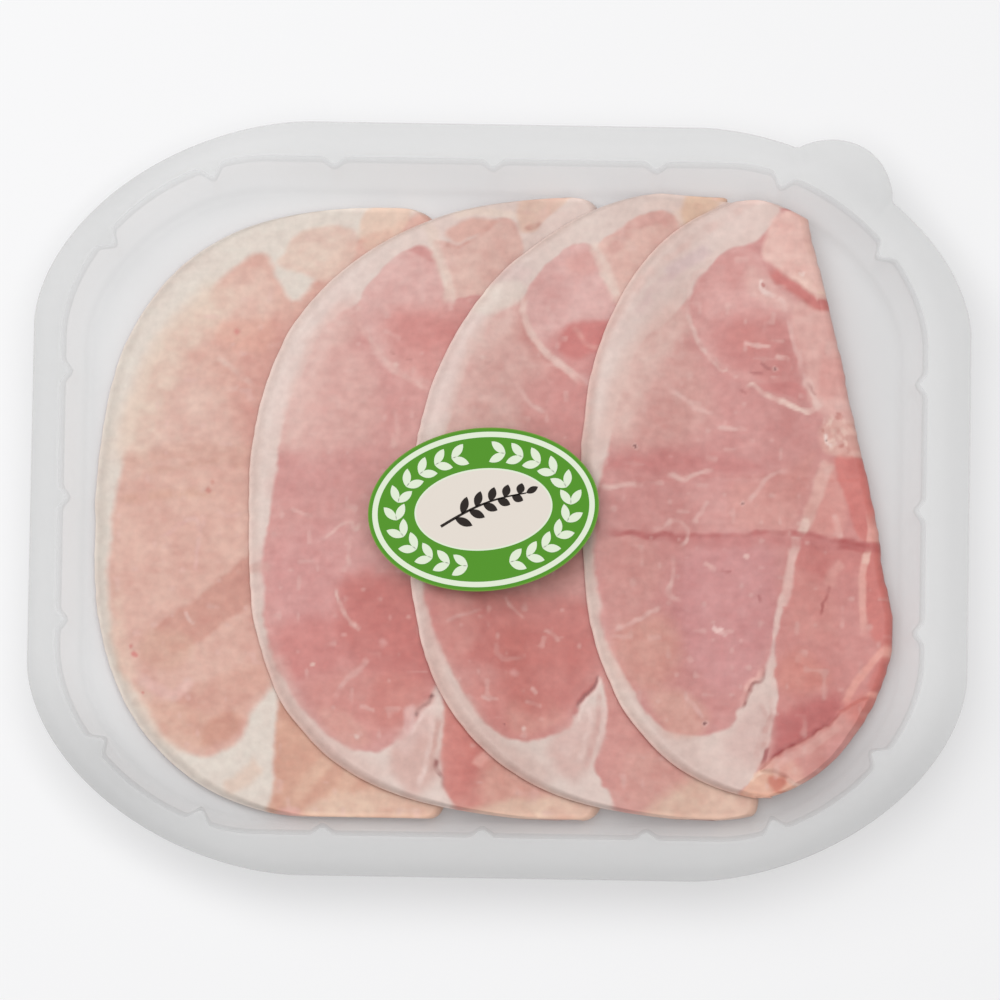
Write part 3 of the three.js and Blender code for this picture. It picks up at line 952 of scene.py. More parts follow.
class Canvas:
    def __init__(self, u, v, base, seed):
        self.u = bend(u, u, v, seed)
        self.v = bend(v, u, v, seed + 2)
        self.seed = seed
        self.colour = np.empty(u.shape + (3,))
        self.colour[:] = linear(base)
        self.height = np.zeros(u.shape)
        self.meat = np.zeros(u.shape)
        self.strokes = 0

    def blend(self, box, weight, colour, lift, meat):
        if colour is not None:
            old = self.colour[box]
            self.colour[box] = old + (linear(colour) - old) * weight[:, None]
        if lift:
            self.height[box] += lift * weight
        if meat is not None:
            self.meat[box] += (meat - self.meat[box]) * weight
        self.strokes += 1

    def near(self, path, margin):
        low, high = path.min(axis=0) - margin, path.max(axis=0) + margin
        inside = (self.u > low[0]) & (self.u < high[0]) & (self.v > low[1]) & (self.v < high[1])
        return inside, self.u[inside], self.v[inside]

    def patch(self, outline, colour=None, soft=0.5, strength=1.0, lift=0.0, meat=None):
        """Fills an outline. The edge fades over soft millimetres."""
        path = smooth_path(outline, True)
        box, u, v = self.near(path, soft)
        distance = np.full(u.shape, FAR)
        inside = np.zeros(u.shape, dtype=bool)
        for start, end in zip(path, np.roll(path, -1, axis=0)):
            gap, _ = to_segment(u, v, start, end)
            np.minimum(distance, gap, out=distance)
            across, rise = end - start
            if rise != 0.0:
                left_of = u < start[0] + (v - start[1]) * across / rise
                inside ^= ((v >= start[1]) != (v >= end[1])) & left_of
        signed = np.sqrt(distance) * np.where(inside, 1.0, -1.0)
        weight = strength * smoothstep(signed, -soft / 2.0, soft / 2.0)
        self.blend(box, weight, colour, lift, meat)

    def line(self, points, width, colour=None, soft=0.35, strength=1.0, lift=0.0, fade=0.15):
        """Follows a path. The line fades out over a share of its length at both ends."""
        path = smooth_path(points, False)
        box, u, v = self.near(path, width + soft)
        distance = np.full(u.shape, FAR)
        place = np.zeros(u.shape)
        for k, (start, end) in enumerate(zip(path[:-1], path[1:])):
            gap, t = to_segment(u, v, start, end)
            closer = gap < distance
            distance = np.where(closer, gap, distance)
            place = np.where(closer, (k + t) / (len(path) - 1), place)
        if width < THIN:
            width = THIN_WIDTH * width
            least, more = THIN_STRENGTH
            whole = smoothstep(mottle(u, v, BREAK_SIZE, self.seed + 7), *BREAK_BAND)
            strength = strength * (least + more * whole)
        beyond = smoothstep(np.sqrt(distance), width / 2.0, width / 2.0 + soft)
        weight = strength * (1.0 - beyond)
        if fade > 0.0:
            weight *= smoothstep(place, 0.0, fade) * smoothstep(1.0 - place, 0.0, fade)
        self.blend(box, np.minimum(weight, 1.0), colour, lift, None)

    def lines(self, paths, *look, **more):
        for path in paths:
            self.line(path, *look, **more)

    def dot(self, u, v, radius, colour, soft=0.3, strength=1.0, lift=0.0):
        ring = [(u + radius * c, v + radius * s) for c, s in ((1, 0), (0, 1), (-1, 0), (0, -1))]
        self.patch(ring, colour, soft, strength, lift)


print("a drawn edge wanders by at most", round(WIDE_BEND[0] + FINE_BEND[0], 2), "mm")

# %% [markdown]
# ## The four slices
#
# All four come from the same ham, so each shows the same things in slightly other places:
# a creamy rim of fat along its left side that widens into a knuckle of fat at the foot, a
# large pink muscle inside it, a round muscle above, and pale seams between muscles. Noise
# alone would give spots, but no muscles, so each of these forms is drawn. What all four
# share comes first: a few inks, and the torn edge that the meat has beside the knuckle.

# %% Ham colours and a torn edge
SEAM = (226, 194, 184)
VEIN = (221, 181, 173)
MUSCLE = (206, 149, 143)
FLECK = (140, 75, 72)
# the ground of each slice, which is the colour of its fat
BASES = [(219, 206, 195), (219, 197, 188), (217, 195, 186), (217, 191, 182)]


def torn_edge(c, path, step, pale, red, deep, strength):
    """A lip beside the edge painted pale as a highlight, a red slope painted as shade, and a deep crack
    along its upper half painted dark as shade.
    """
    c.line(shifted(path, *step), 0.99, pale, 0.7, 1.1, 0.12)
    c.line(path, 0.99, red, 0.9, 0.9, -0.15)
    c.line(path[:4], 0.6, deep, 0.4, strength, -0.1)


print("slices to paint:", len(BASES))

# %% [markdown]
# The first slice lies under all the others and is the palest: its meat is a dull beige pink,
# paled in part by a painted reflection of haze on the film. Its muscle is crossed by faint
# fold marks, painted darker as shade in their creases, and by deeper bands that run up to
# the right.

# %% First slice: fat and meat
def first_meat(c):
    """The outline of the meat, and its pale and deep places; its pale cast takes in a painted reflection
    of haze on the film.
    """
    rim = [
        (38.2, 61), (32.5, 57.3), (27.5, 53), (25.2, 48.3), (19.8, 43.4), (15.1, 37), (12, 29),
        (9.8, 19.3), (6.5, 9.3), (4.8, 2), (4.2, -9.6), (3.6, -22), (5.1, -31), (7.7, -40.2),
        (12.6, -48.6), (18.2, -56.5), (25, -60.7), (31.4, -60.3), (36.4, -56.2),
    ]
    spur = [
        (37.4, -51), (41.4, -46.1), (43.6, -41), (45, -49.7), (43.7, -60), (43.9, -66.4), (45.4, -76),
        (60, -82), (95, -82), (95, 60),
    ]
    top = [(62, 65), (48, 50), (42.8, 55), (41.3, 58.2)]
    c.patch(rim + spur + top, (214, 171, 156), 2.0, meat=1.0)
    # softer and paler towards the rim above, deeper towards the next slice
    c.line([(27, 50), (17, 38), (12, 26), (8.5, 12)], 3.0, (221, 196, 181), 4.5, 0.7)
    c.patch([(13, 25), (24, 33), (34, 20), (36, 12), (22, 10), (9, 9)], (217, 182, 168), 8.0, 0.7)
    c.patch([(34, 41), (40, 46), (60, 40), (60, 10), (40, 8), (33, 25)], (209, 156, 143), 6.0, 0.8)
    c.patch([(28, 46), (33, 56), (41, 56), (42, 47), (36, 42)], (219, 185, 170), 3.0, 0.8)
    c.patch([(26, 42), (32, 44.5), (41, 45), (41, 38), (34, 37)], (220, 170, 152), 3.5, 0.7)
    upper = [(42.9, 58.1), (43.9, 61.1), (46, 64.4), (50, 67.4), (56.9, 68.1), (62.1, 65), (56, 55)]
    c.patch(upper, (220, 194, 178), 1.6, 0.9, meat=1.0)
    c.patch([(62, 66), (64, 72.5), (74, 72.8), (72, 67), (66, 62)], (221, 189, 169), 1.4, 0.85)
    c.line(
        [(33, 56), (25, 46), (18.5, 38), (13.5, 28), (10, 18), (7.5, 6)], 3.6, (221, 196, 179), 5.0, 0.9
    )
    c.line([(5, -14), (6.4, -32), (10.6, -44), (18, -55), (26, -60)], 1.4, (219, 188, 170), 2.6, 0.6)


# %% First slice: fold marks and bands
def first_bands(c):
    """Fold marks across the middle, painted darker as shade, and deep bands below it."""
    # the fold marks across the middle, painted darker as shade in their creases
    c.line(
        [(8.5, 7.4), (18.8, 8.8), (25, 10.4), (31, 10.6), (36.5, 9.4)],
        0.7, (198, 150, 130), 1.6, 0.55, -0.12,
    )
    c.line([(4.6, 0.4), (12.5, 1.8), (20.4, 2.7), (30, 2.2)], 0.8, (205, 158, 134), 1.8, 0.5, -0.1)
    c.patch([(8, 8.6), (24, 11.5), (38, 10.2), (38, 14), (22, 15), (9, 12)], (204, 156, 138), 3.0, 0.45)
    # deep diagonal bands below
    band = [(15, -30.7), (21.7, -25.2), (27.5, -20.3), (34, -14.6), (44, -9), (44, -18), (37.1, -25)]
    c.patch(band + [(32, -28), (28.9, -30.8), (20, -36)], (198, 141, 126), 1.6, 0.85, -0.12)
    c.patch([(13, -31), (24, -33), (20, -40), (12, -38)], (209, 165, 146), 3.5, 0.8)
    band = [(19.7, -47.6), (28.2, -42.7), (38.9, -38.1), (46, -34), (46, -42), (38, -47)]
    c.patch(band + [(36, -54), (30, -59), (25, -58)], (206, 154, 137), 3.0, 0.65)
    c.patch([(14, -49), (22, -48), (30, -54), (26, -59), (18, -56)], (214, 170, 150), 3.5, 0.7)
    c.patch([(27, -58.5), (35, -55), (34, -50), (28, -53)], (201, 146, 126), 2.0, 0.8)
    c.line([(9.5, -41), (19, -46.5), (25, -42)], 1.2, (221, 181, 172), 1.6, 0.6)


# %% First slice: veins and foot
def first_details(c):
    """Veins, the muscle right of the knuckle, and red marks."""
    # veins
    c.line(
        [(15.9, -8.6), (19, -6.5), (22.1, -4), (24.1, -4), (25.1, -6), (27.2, -2.4)],
        0.55, VEIN, 0.7, 0.75,
    )
    c.line([(25, -5.6), (24.6, -10.5), (24.5, -16.7)], 0.5, VEIN, 0.7, 0.7)
    c.line([(28.4, -1.2), (31.6, -2.6), (35.9, -2.3)], 0.5, VEIN, 0.7, 0.55)
    c.line([(22.1, -25.7), (23.4, -28), (24.9, -29.3)], 0.5, SEAM, 0.6, 0.7)
    c.line([(28.1, 36.3), (31.8, 32.9), (37.8, 28.5)], 0.7, (222, 193, 180), 0.8, 0.8)
    c.line([(29.9, 28), (34.2, 28.1)], 0.7, (221, 190, 178), 0.9, 0.6)
    c.line([(16, -10.5), (19, -9.5)], 0.6, VEIN, 0.8, 0.5)
    # the fat at the foot, and a darker muscle right of it
    c.patch(
        [(45.6, -47), (52, -40), (95, -40), (95, -82), (47, -78), (44.2, -66), (44.2, -56)],
        (205, 155, 132), 1.6, 0.9,
    )
    for shift in (0.0, 9.0, 17.0):
        streak = [(47 + shift, -74), (52 + shift, -67), (58 + shift, -60)]
        c.line(streak, 1.2, (220, 182, 158), 2.2, 0.55)
    c.patch(
        [(52, -73.4), (62, -69), (80, -70), (95, -74), (95, -82), (50, -82)], (221, 190, 168), 3.0, 0.85
    )
    c.line([(32, -69), (37, -66), (41, -62)], 1.6, (219, 190, 172), 2.2, 0.7)
    c.patch([(45, -74), (50, -73), (50, -77), (45, -78)], (222, 175, 165), 1.5, 0.7)
    # small red marks
    for u, v, size in ((10.6, -36.5, 0.75), (9.6, -34.6, 0.4), (12.1, -45.9, 0.35), (19.2, -62.9, 0.35)):
        c.dot(u, v, size, (200, 110, 105), 0.7, 0.8)
    c.dot(33.3, 41.6, 0.7, (206, 128, 120), 0.9, 0.8)
    c.dot(26.7, 3.6, 0.7, (190, 112, 100), 0.9, 0.75)
    c.dot(27.6, 5.4, 0.5, (196, 122, 108), 0.8, 0.6)


# %% [markdown]
# The second slice shows a band of deep pink meat, with the darkest of it low down beside the
# knuckle. Its fat has a painted highlight along its middle, and a thin orange edge shows at its upper
# right.

# %% Second slice: fat and meat
def second_meat(c):
    """The fat with a painted highlight along its middle, and the outline of the meat."""
    rim = [
        (42.2, 62.3), (39.2, 63), (34, 59.2), (28.7, 54.7), (26, 49.8), (21.2, 46.4), (16.9, 42.2),
        (13.6, 35.2), (10.6, 27.7), (7.8, 17.3), (6, 3.9), (4.2, -8.7), (3.9, -19.8), (5.3, -32.6),
        (8.3, -41), (12.6, -48.2), (17.3, -53.3), (24.9, -59), (32, -59.4), (37.7, -57), (39.8, -55.2),
    ]
    spur = [
        (39.6, -52), (41.5, -48.4), (44.6, -45.7), (46.4, -41), (46.5, -46.6), (48.1, -52), (47.4, -59.1),
        (46.6, -62.5), (48, -68.4), (50.2, -72), (54, -73.4), (60, -82), (95, -82), (95, 60),
    ]
    # a painted highlight along the middle of the fat rim
    painted_rim_highlight = [(36, 70), (25.2, 61.6), (16.7, 55), (10, 46.3), (5.8, 38.6), (3.6, 28), (2.6, 15)]
    c.line(painted_rim_highlight, 2.6, (226, 207, 199), 3.0, 0.7)
    c.line([(2.2, 6), (1.8, -14), (3, -32), (8, -46), (16, -58)], 1.0, (227, 205, 196), 1.4, 0.8)
    c.patch(rim + spur + [(60, 52), (46.9, 52), (45, 57)], MUSCLE, 1.2, meat=1.0)
    upper = [(43.4, 64.6), (48.8, 62.8), (52.4, 64.6), (57, 68.5), (60.5, 69.9), (63.4, 66.6), (64, 55)]
    c.patch(upper + [(48, 50), (46.4, 54.5), (44.4, 59.5)], (217, 180, 168), 0.8, meat=1.0)


# %% Second slice: tones
def second_tones(c):
    """Pale above and near the rim, deep below."""
    c.line([(25, 48), (16, 37), (11, 24), (8, 10)], 3.5, (220, 187, 176), 5.0, 0.65)
    c.patch([(13, 28), (22, 38), (30, 30), (28, 14), (14, 10)], (215, 171, 162), 7.0, 0.8)
    c.patch([(9, 9), (24, 14), (40, 12), (46, 2), (30, -2), (8, 0)], (203, 143, 138), 7.0, 0.75)
    c.patch([(6, -10), (22, -4), (34, -14), (30, -28), (12, -30), (5, -22)], (209, 150, 146), 7.0, 0.8)
    c.patch([(7, -31), (20, -27), (26, -30), (22, -40), (10, -42)], (200, 120, 114), 6.0, 0.7)
    c.patch([(24, -20), (34, -16), (46, -24), (46, -38), (32, -34)], (197, 119, 113), 6.0, 0.8)
    c.patch([(14, -44), (30, -40), (40, -46), (34, -56), (22, -56)], (205, 138, 129), 6.0, 0.8)
    c.patch([(17, -50), (24, -50), (30, -57), (24, -58.4)], (212, 158, 146), 3.0, 0.8)
    c.line(
        [(27, 50.5), (20.5, 45.8), (16, 40), (12.3, 32.2), (9.4, 24), (7.6, 14)],
        2.6, (220, 184, 175), 3.6, 0.75,
    )
    c.line(
        [(32, 62), (23, 54), (16, 47.6), (11, 40), (7.6, 31), (5.4, 21), (4, 10)],
        3.0, (224, 203, 195), 2.4, 0.7,
    )
    c.line([(3, -34), (8, -46), (16, -57), (26, -64), (38, -69)], 4.0, (210, 176, 166), 4.0, 0.55)
    c.patch([(22, -20), (34, -18), (47, -22), (47, -42), (36, -43), (25, -37)], (193, 110, 103), 6.0, 0.8)
    c.patch([(32, -42), (42, -42), (44, -47), (38, -54), (30, -52)], (199, 124, 114), 4.0, 0.7)


# %% Second slice: round muscle
def second_round_muscle(c):
    """The round muscle with its pale line, and the upper right."""
    ball = [
        (36.7, 61.4), (31.3, 57.3), (27, 52.4), (25.9, 49), (26.2, 44.6), (28.6, 39.8), (32.4, 35.5),
        (37.9, 30.8), (44, 29), (50, 36), (47, 50), (43.5, 58),
    ]
    c.patch(ball, (215, 172, 165), 0.8, 0.9)
    c.patch([(31, 44), (36, 48), (52, 46), (52, 28), (40, 29), (32, 37)], (206, 141, 134), 7.0, 0.85)
    c.patch([(34, 44), (38, 46.5), (50, 42), (48, 38), (38, 38)], (199, 122, 116), 5.0, 0.55)
    c.line(
        [(25.4, 50.5), (25.2, 46.6), (26.3, 42.4), (29.5, 37.8), (33.8, 33.4), (41.3, 27.9), (45, 24.5)],
        0.9, SEAM, 0.8, 0.85, -0.1,
    )
    c.line(
        [(40.5, 69.9), (43.2, 65.9), (44.2, 59.8), (46.3, 55.5), (47.2, 51.5), (46.6, 48)],
        1.5, (223, 200, 187), 1.0, 0.85, -0.08,
    )
    # upper right: dark curve, fat line and the orange edge
    c.line([(45.6, 63.4), (48.8, 62.6), (52.4, 64.4)], 0.5, (198, 140, 128), 0.8, 0.8)
    c.patch(
        [(46, 66.4), (50, 69.2), (57, 70), (58, 68.5), (52, 64.8), (48, 63.4)], (214, 164, 150), 1.4, 0.85
    )
    c.line(
        [(52.4, 64.4), (56.6, 68.3), (59.8, 70), (62, 68.8), (63.4, 66.6)], 0.6, (201, 145, 134), 0.9, 0.7
    )
    c.line([(47, 70.2), (52, 71.2), (58, 71.6), (64, 70.6)], 1.0, (228, 206, 192), 1.0, 0.8)
    c.patch(
        [(63.6, 67.8), (64.2, 75), (76, 76), (70, 70.8), (66, 67)], (221, 190, 172), 1.2, 0.9, meat=1.0
    )
    c.line([(64.8, 67.6), (68.4, 70)], 0.5, (176, 116, 106), 0.7, 0.8)


# %% Second slice: veins and crumbs
def second_details(c):
    """Veins, pale crumbs and dark flecks."""
    c.line([(9.6, -1.2), (12.9, -2.5), (15.8, -3.7)], 0.5, VEIN, 0.6, 0.7)
    c.line(
        [(16.3, -9.2), (19.9, -7.3), (22, -5.1), (24.7, -4.6), (25.8, -6.4), (27.5, -3.8)],
        0.6, VEIN, 0.6, 0.85,
    )
    c.line([(25.2, -7), (24.4, -12), (24.8, -15.3)], 0.5, VEIN, 0.6, 0.7)
    c.line([(21.6, -19.8), (21.6, -23.2), (23.8, -27.5), (27.2, -30.5)], 0.55, SEAM, 0.5, 0.85)
    c.line([(24, -28.6), (27.4, -30.8)], 0.4, SEAM, 0.5, 0.7)
    c.line([(29.9, -37), (27.3, -39.3), (23.8, -43.4), (20.8, -47.9)], 0.6, VEIN, 0.8, 0.6)
    c.line([(27.4, -48.7), (31.4, -50)], 0.5, VEIN, 0.7, 0.6)
    c.line([(28.8, 37.6), (31.4, 34.4), (36, 31)], 0.4, VEIN, 0.6, 0.6)
    c.line([(31.6, 42.6), (36, 40.2)], 0.5, VEIN, 0.8, 0.6)
    c.line([(34.5, 24), (35.4, 16), (33, 13)], 0.5, VEIN, 0.9, 0.5)
    c.line([(26.4, 2.4), (30.6, 0.6), (34, 1)], 0.5, VEIN, 0.8, 0.5)
    c.line([(41, 30.5), (44.6, 26.6), (48, 24)], 0.6, (220, 176, 168), 0.8, 0.6)
    c.dot(16, -39.1, 0.6, (226, 190, 178), 0.6, 0.9)
    c.dot(32.5, -33.6, 1.0, (214, 158, 152), 1.4, 0.7)
    c.dot(26.6, -56.1, 0.5, SEAM, 0.6, 0.9)
    c.dot(34.5, 34, 0.6, (222, 186, 176), 0.8, 0.8)
    c.lines([[(32.8, 37.4), (34.4, 36.6)], [(36.8, 35.6), (38.6, 34.9)]], 0.35, FLECK, 0.4, 0.6)
    c.patch([(0.5, -15), (4.5, -14.6), (5.6, -16.4), (1.5, -17)], (205, 160, 150), 1.2, 0.5)


# %% Second slice: knuckle
def second_knuckle(c):
    """Cracks along the knuckle, painted darker as shade in them, and the muscle right of it."""
    tail = [
        (47.4, -44), (52, -40), (95, -40), (95, -82), (56, -78), (50.6, -73.4), (47.6, -66), (47.4, -56),
    ]
    c.patch(tail, (204, 134, 123), 1.2, 0.95)
    c.patch(
        [(48.6, -50), (56, -56), (56, -64), (51, -71), (48, -66), (48, -57)], (199, 116, 107), 5.0, 0.7
    )
    c.patch([(59, -60), (72, -64), (76, -74), (58, -74)], (214, 164, 149), 6.0, 0.9)
    c.patch(
        [(54, -73.6), (64, -70.6), (78, -69), (92, -70), (92, -80), (50, -80)], (221, 190, 169), 2.6, 0.9
    )
    c.line([(55, -63.4), (57, -60.6), (60, -59.2)], 1.2, (226, 170, 158), 1.2, 0.7)
    c.patch([(35, -60), (44, -50), (46.4, -58), (46, -66), (40, -70)], (205, 163, 153), 4.0, 0.85)
    c.line([(45.3, -47), (44.4, -54), (43.8, -61.9), (41.2, -70)], 0.8, (226, 198, 190), 0.8, 0.9)
    # cracks painted darker as shade in them
    c.line([(46.6, -50), (45.6, -57), (45.2, -66)], 0.8, (196, 148, 138), 0.7, 0.9, -0.08)
    c.line([(41.6, -52), (41.4, -59), (38.4, -66)], 0.8, (204, 164, 154), 0.8, 0.8, -0.06)
    torn = [(45.3, -45.2), (43.7, -47.4), (42, -49.1), (41, -51.3), (39.9, -53), (39.4, -55.3)]
    torn_edge(c, torn, (0.8, -0.6), (230, 202, 194), (184, 96, 90), (112, 60, 56), 1.1)
    # a deep crack, painted dark as shade
    c.line(
        [(46.4, -60.8), (45.7, -63.5), (46.1, -64.6), (47.3, -66.3), (48, -69)],
        0.7, (140, 74, 68), 0.5, 1.1, -0.12,
    )
    c.patch([(38.5, -50), (41, -49), (40.6, -54.6), (38.6, -55.4)], (224, 190, 184), 1.4, 0.6)
    c.line([(36, -60), (41, -55), (44.4, -49)], 1.6, (221, 190, 183), 2.4, 0.4)


# %% [markdown]
# The third slice is like the second, but its round muscle is redder and its upper right
# corner is creamy. The cracks along its knuckle stand closer together.

# %% Third slice: fat and meat
def third_meat(c):
    """The fat with a painted highlight along its middle, and the outline of the meat."""
    rim = [
        (42.6, 63.2), (39, 64), (34.5, 61), (29.6, 56.6), (26.4, 50.3), (19.7, 45.9), (16.2, 40.4),
        (12.6, 32.6), (9.8, 22.6), (6.6, 10), (4.2, -6), (3.8, -19), (6.2, -31), (11.5, -42.6),
        (16.3, -50.2), (21.4, -54.9), (27.4, -56.6), (33, -55.8), (38.9, -53.4),
    ]
    spur = [
        (40, -49), (43, -45.2), (45.2, -41), (46.5, -42.6), (48, -48.8), (47.4, -53.6), (44.8, -62.4),
        (46.4, -65), (47, -67.6), (50, -68.6), (53, -72), (60, -80), (95, -80), (95, 60),
    ]
    # a painted highlight along the middle of the fat rim
    painted_rim_highlight = [(35, 71), (25, 63), (16, 56), (9.6, 47.5), (5.4, 38.6), (3.4, 28), (2.4, 15)]
    c.line(painted_rim_highlight, 2.6, (225, 206, 198), 3.0, 0.7)
    c.line([(2, 6), (1.6, -14), (3.4, -32), (10, -46), (18, -57)], 1.0, (227, 204, 195), 1.4, 0.8)
    c.patch(rim + spur + [(60, 50), (49, 50), (46.8, 54.3), (44.8, 59)], (203, 142, 135), 1.2, meat=1.0)
    upper = [
        (43.8, 62.6), (45.6, 65.4), (49.4, 67.6), (53.6, 71), (58.4, 72.3), (62.2, 71.6), (64.4, 66.4),
    ]
    c.patch(upper + [(64, 50), (50, 48), (47, 54.3), (45, 59)], (219, 180, 168), 0.8, meat=1.0)


# %% Third slice: tones
def third_tones(c):
    """Pale above and near the rim, deep below."""
    c.line([(25, 48), (16, 37), (11, 24), (8, 10)], 3.5, (220, 187, 176), 5.0, 0.65)
    c.patch([(13, 28), (22, 40), (32, 32), (30, 16), (13, 14)], (217, 177, 168), 7.0, 0.85)
    c.patch([(26, 28), (38, 31), (48, 26), (48, 2), (28, 4)], (202, 135, 130), 7.0, 0.75)
    c.patch([(7, 8), (26, 13), (46, 8), (46, -4), (6, -2)], (196, 118, 112), 5.0, 0.6)
    c.patch([(6, -20), (20, -20), (44, -24), (45, -38), (20, -40), (8, -36)], (194, 115, 108), 6.0, 0.85)
    c.patch([(14, -44), (30, -42), (39, -47), (34, -54), (22, -54)], (205, 134, 126), 5.0, 0.8)
    c.patch([(24, -47), (34, -46), (37, -52), (26, -55)], (210, 152, 140), 3.0, 0.7)
    c.line(
        [(28, 51.5), (21, 45.8), (16.6, 40.5), (13, 33.6), (10.2, 26), (8, 15)],
        2.6, (220, 184, 175), 3.6, 0.75,
    )
    c.line(
        [(33, 64), (23.6, 55), (16.4, 48.4), (11.4, 41), (8, 32), (5.6, 21), (4, 10)],
        3.0, (223, 200, 193), 2.4, 0.7,
    )
    c.line([(2.6, -32), (8, -45), (16, -56), (26, -63), (38, -68)], 4.0, (210, 176, 166), 4.0, 0.6)
    c.patch([(22, -30), (40, -30), (44, -42), (34, -50), (24, -47)], (190, 108, 100), 6.0, 0.7)
    c.patch([(7, -24), (14, -22), (16, -34), (10, -38)], (208, 146, 137), 4.0, 0.6)


# %% Third slice: round muscle
def third_round_muscle(c):
    """The round muscle with its pale line, the upper right, and a crease across the fat painted as shade.
    """
    ball = [
        (36.6, 62.8), (30.8, 57.8), (27.6, 53.4), (27, 49), (28.3, 43.5), (31.6, 39), (38.5, 32.5),
        (44, 29), (50, 36), (48, 50), (44.2, 59), (41, 64),
    ]
    c.patch(ball, (215, 171, 165), 0.8, 0.9)
    c.patch([(36.5, 60.6), (42.6, 62.4), (44, 57.6), (38, 56)], (213, 160, 152), 2.4, 0.8)
    c.patch([(32, 38.6), (37, 43.4), (50, 43), (50, 32), (40, 31)], (203, 135, 130), 4.0, 0.8)
    c.patch(
        [(34.8, 38.6), (38, 44.6), (50, 45), (50, 38.6), (43, 37.6), (38, 36)], (195, 105, 100), 2.2, 0.75
    )
    c.line([(37.6, 43.8), (40, 41.4), (42.6, 39.2), (45.4, 39)], 0.6, (216, 160, 150), 0.8, 0.75)
    c.line(
        [(26.4, 51.6), (26.3, 47.2), (27.6, 43), (31, 38.2), (35, 34.4), (42.2, 29)],
        1.0, SEAM, 0.8, 0.9, -0.1,
    )
    c.line([(42.4, 64.6), (44.4, 60), (47, 54.4), (48.6, 49.6)], 1.4, (223, 198, 186), 1.0, 0.85, -0.08)
    # upper right: dark line, fat bands and orange edge
    c.line(
        [(45.4, 60.4), (49, 64.4), (53.4, 68.4), (58.6, 70), (61.6, 68.2)],
        0.9, (205, 152, 143), 1.6, 0.8, -0.08,
    )
    c.patch(
        [(45.6, 65.2), (53.6, 71), (58.6, 72.4), (61.6, 71.4), (58, 70), (53, 68)],
        (218, 172, 162), 1.0, 0.8,
    )
    c.line([(53, 72.4), (58.5, 74), (62.4, 73.4), (63.8, 69.8)], 1.1, (226, 202, 192), 1.0, 0.8)
    c.line([(63, 74), (64, 69.8), (65.4, 65.6)], 1.6, (224, 200, 186), 1.0, 0.85)
    c.patch(
        [(64.6, 67.6), (64.6, 76.6), (76, 77.4), (72.7, 75), (67.6, 70)],
        (221, 190, 164), 1.4, 0.9, meat=1.0,
    )
    c.patch([(65, 66.6), (66, 70), (68, 69.2), (67, 66)], (214, 170, 158), 1.0, 0.8)
    # a soft crease across the fat, painted pinker and darker as shade
    c.line([(14.6, 55.2), (22.4, 56.4), (28.1, 55.4)], 1.6, (216, 190, 184), 3.0, 0.7)
    c.patch([(12, 50), (20, 53.6), (26, 53.6), (24.6, 49.4), (17, 46)], (226, 209, 198), 2.0, 0.7)


# %% Third slice: veins and crumbs
def third_details(c):
    """Veins, pale crumbs and dark flecks."""
    c.line([(22.1, 29), (25, 29.1), (27.9, 25), (33, 22.9)], 0.55, VEIN, 0.7, 0.75)
    c.line([(22.6, -21.7), (24.4, -24.7), (27.8, -27.6)], 0.5, SEAM, 0.5, 0.75)
    c.lines(
        [
            [(8.7, -28.8), (14.2, -26.6), (17.5, -25.2)],
            [(31.7, -29.7), (34.3, -30.9), (36, -33.1)],
        ],
        0.5, VEIN, 0.6, 0.6,
    )
    c.line([(21.1, -32.5), (21.2, -36.4), (23.7, -37.6), (28.4, -35.8)], 0.5, VEIN, 0.7, 0.35)
    c.line([(29, -43.6), (30.7, -45.2)], 0.5, VEIN, 0.6, 0.7)
    c.line([(17.1, -46.3), (20.5, -48)], 0.5, VEIN, 0.6, 0.6)
    c.line([(28.2, -47.4), (32, -47.8)], 0.5, VEIN, 0.6, 0.7)
    c.line([(44.6, 52.6), (46, 51.6), (47.5, 50.7)], 0.7, (226, 186, 178), 0.7, 0.8)
    c.line([(16.6, 34), (18.6, 33.8)], 0.4, FLECK, 0.5, 0.4)
    c.dot(16.4, 35.2, 0.6, (226, 200, 190), 0.8, 0.7)
    c.dot(25.5, -40.6, 0.9, (213, 158, 152), 1.2, 0.7)
    c.dot(27.8, -53.9, 0.5, SEAM, 0.6, 0.9)
    c.dot(23.4, -52.7, 0.3, FLECK, 0.4, 0.7)
    c.line([(41.4, 29.8), (45, 26.4), (50, 22.6)], 0.6, (218, 172, 164), 0.8, 0.5)


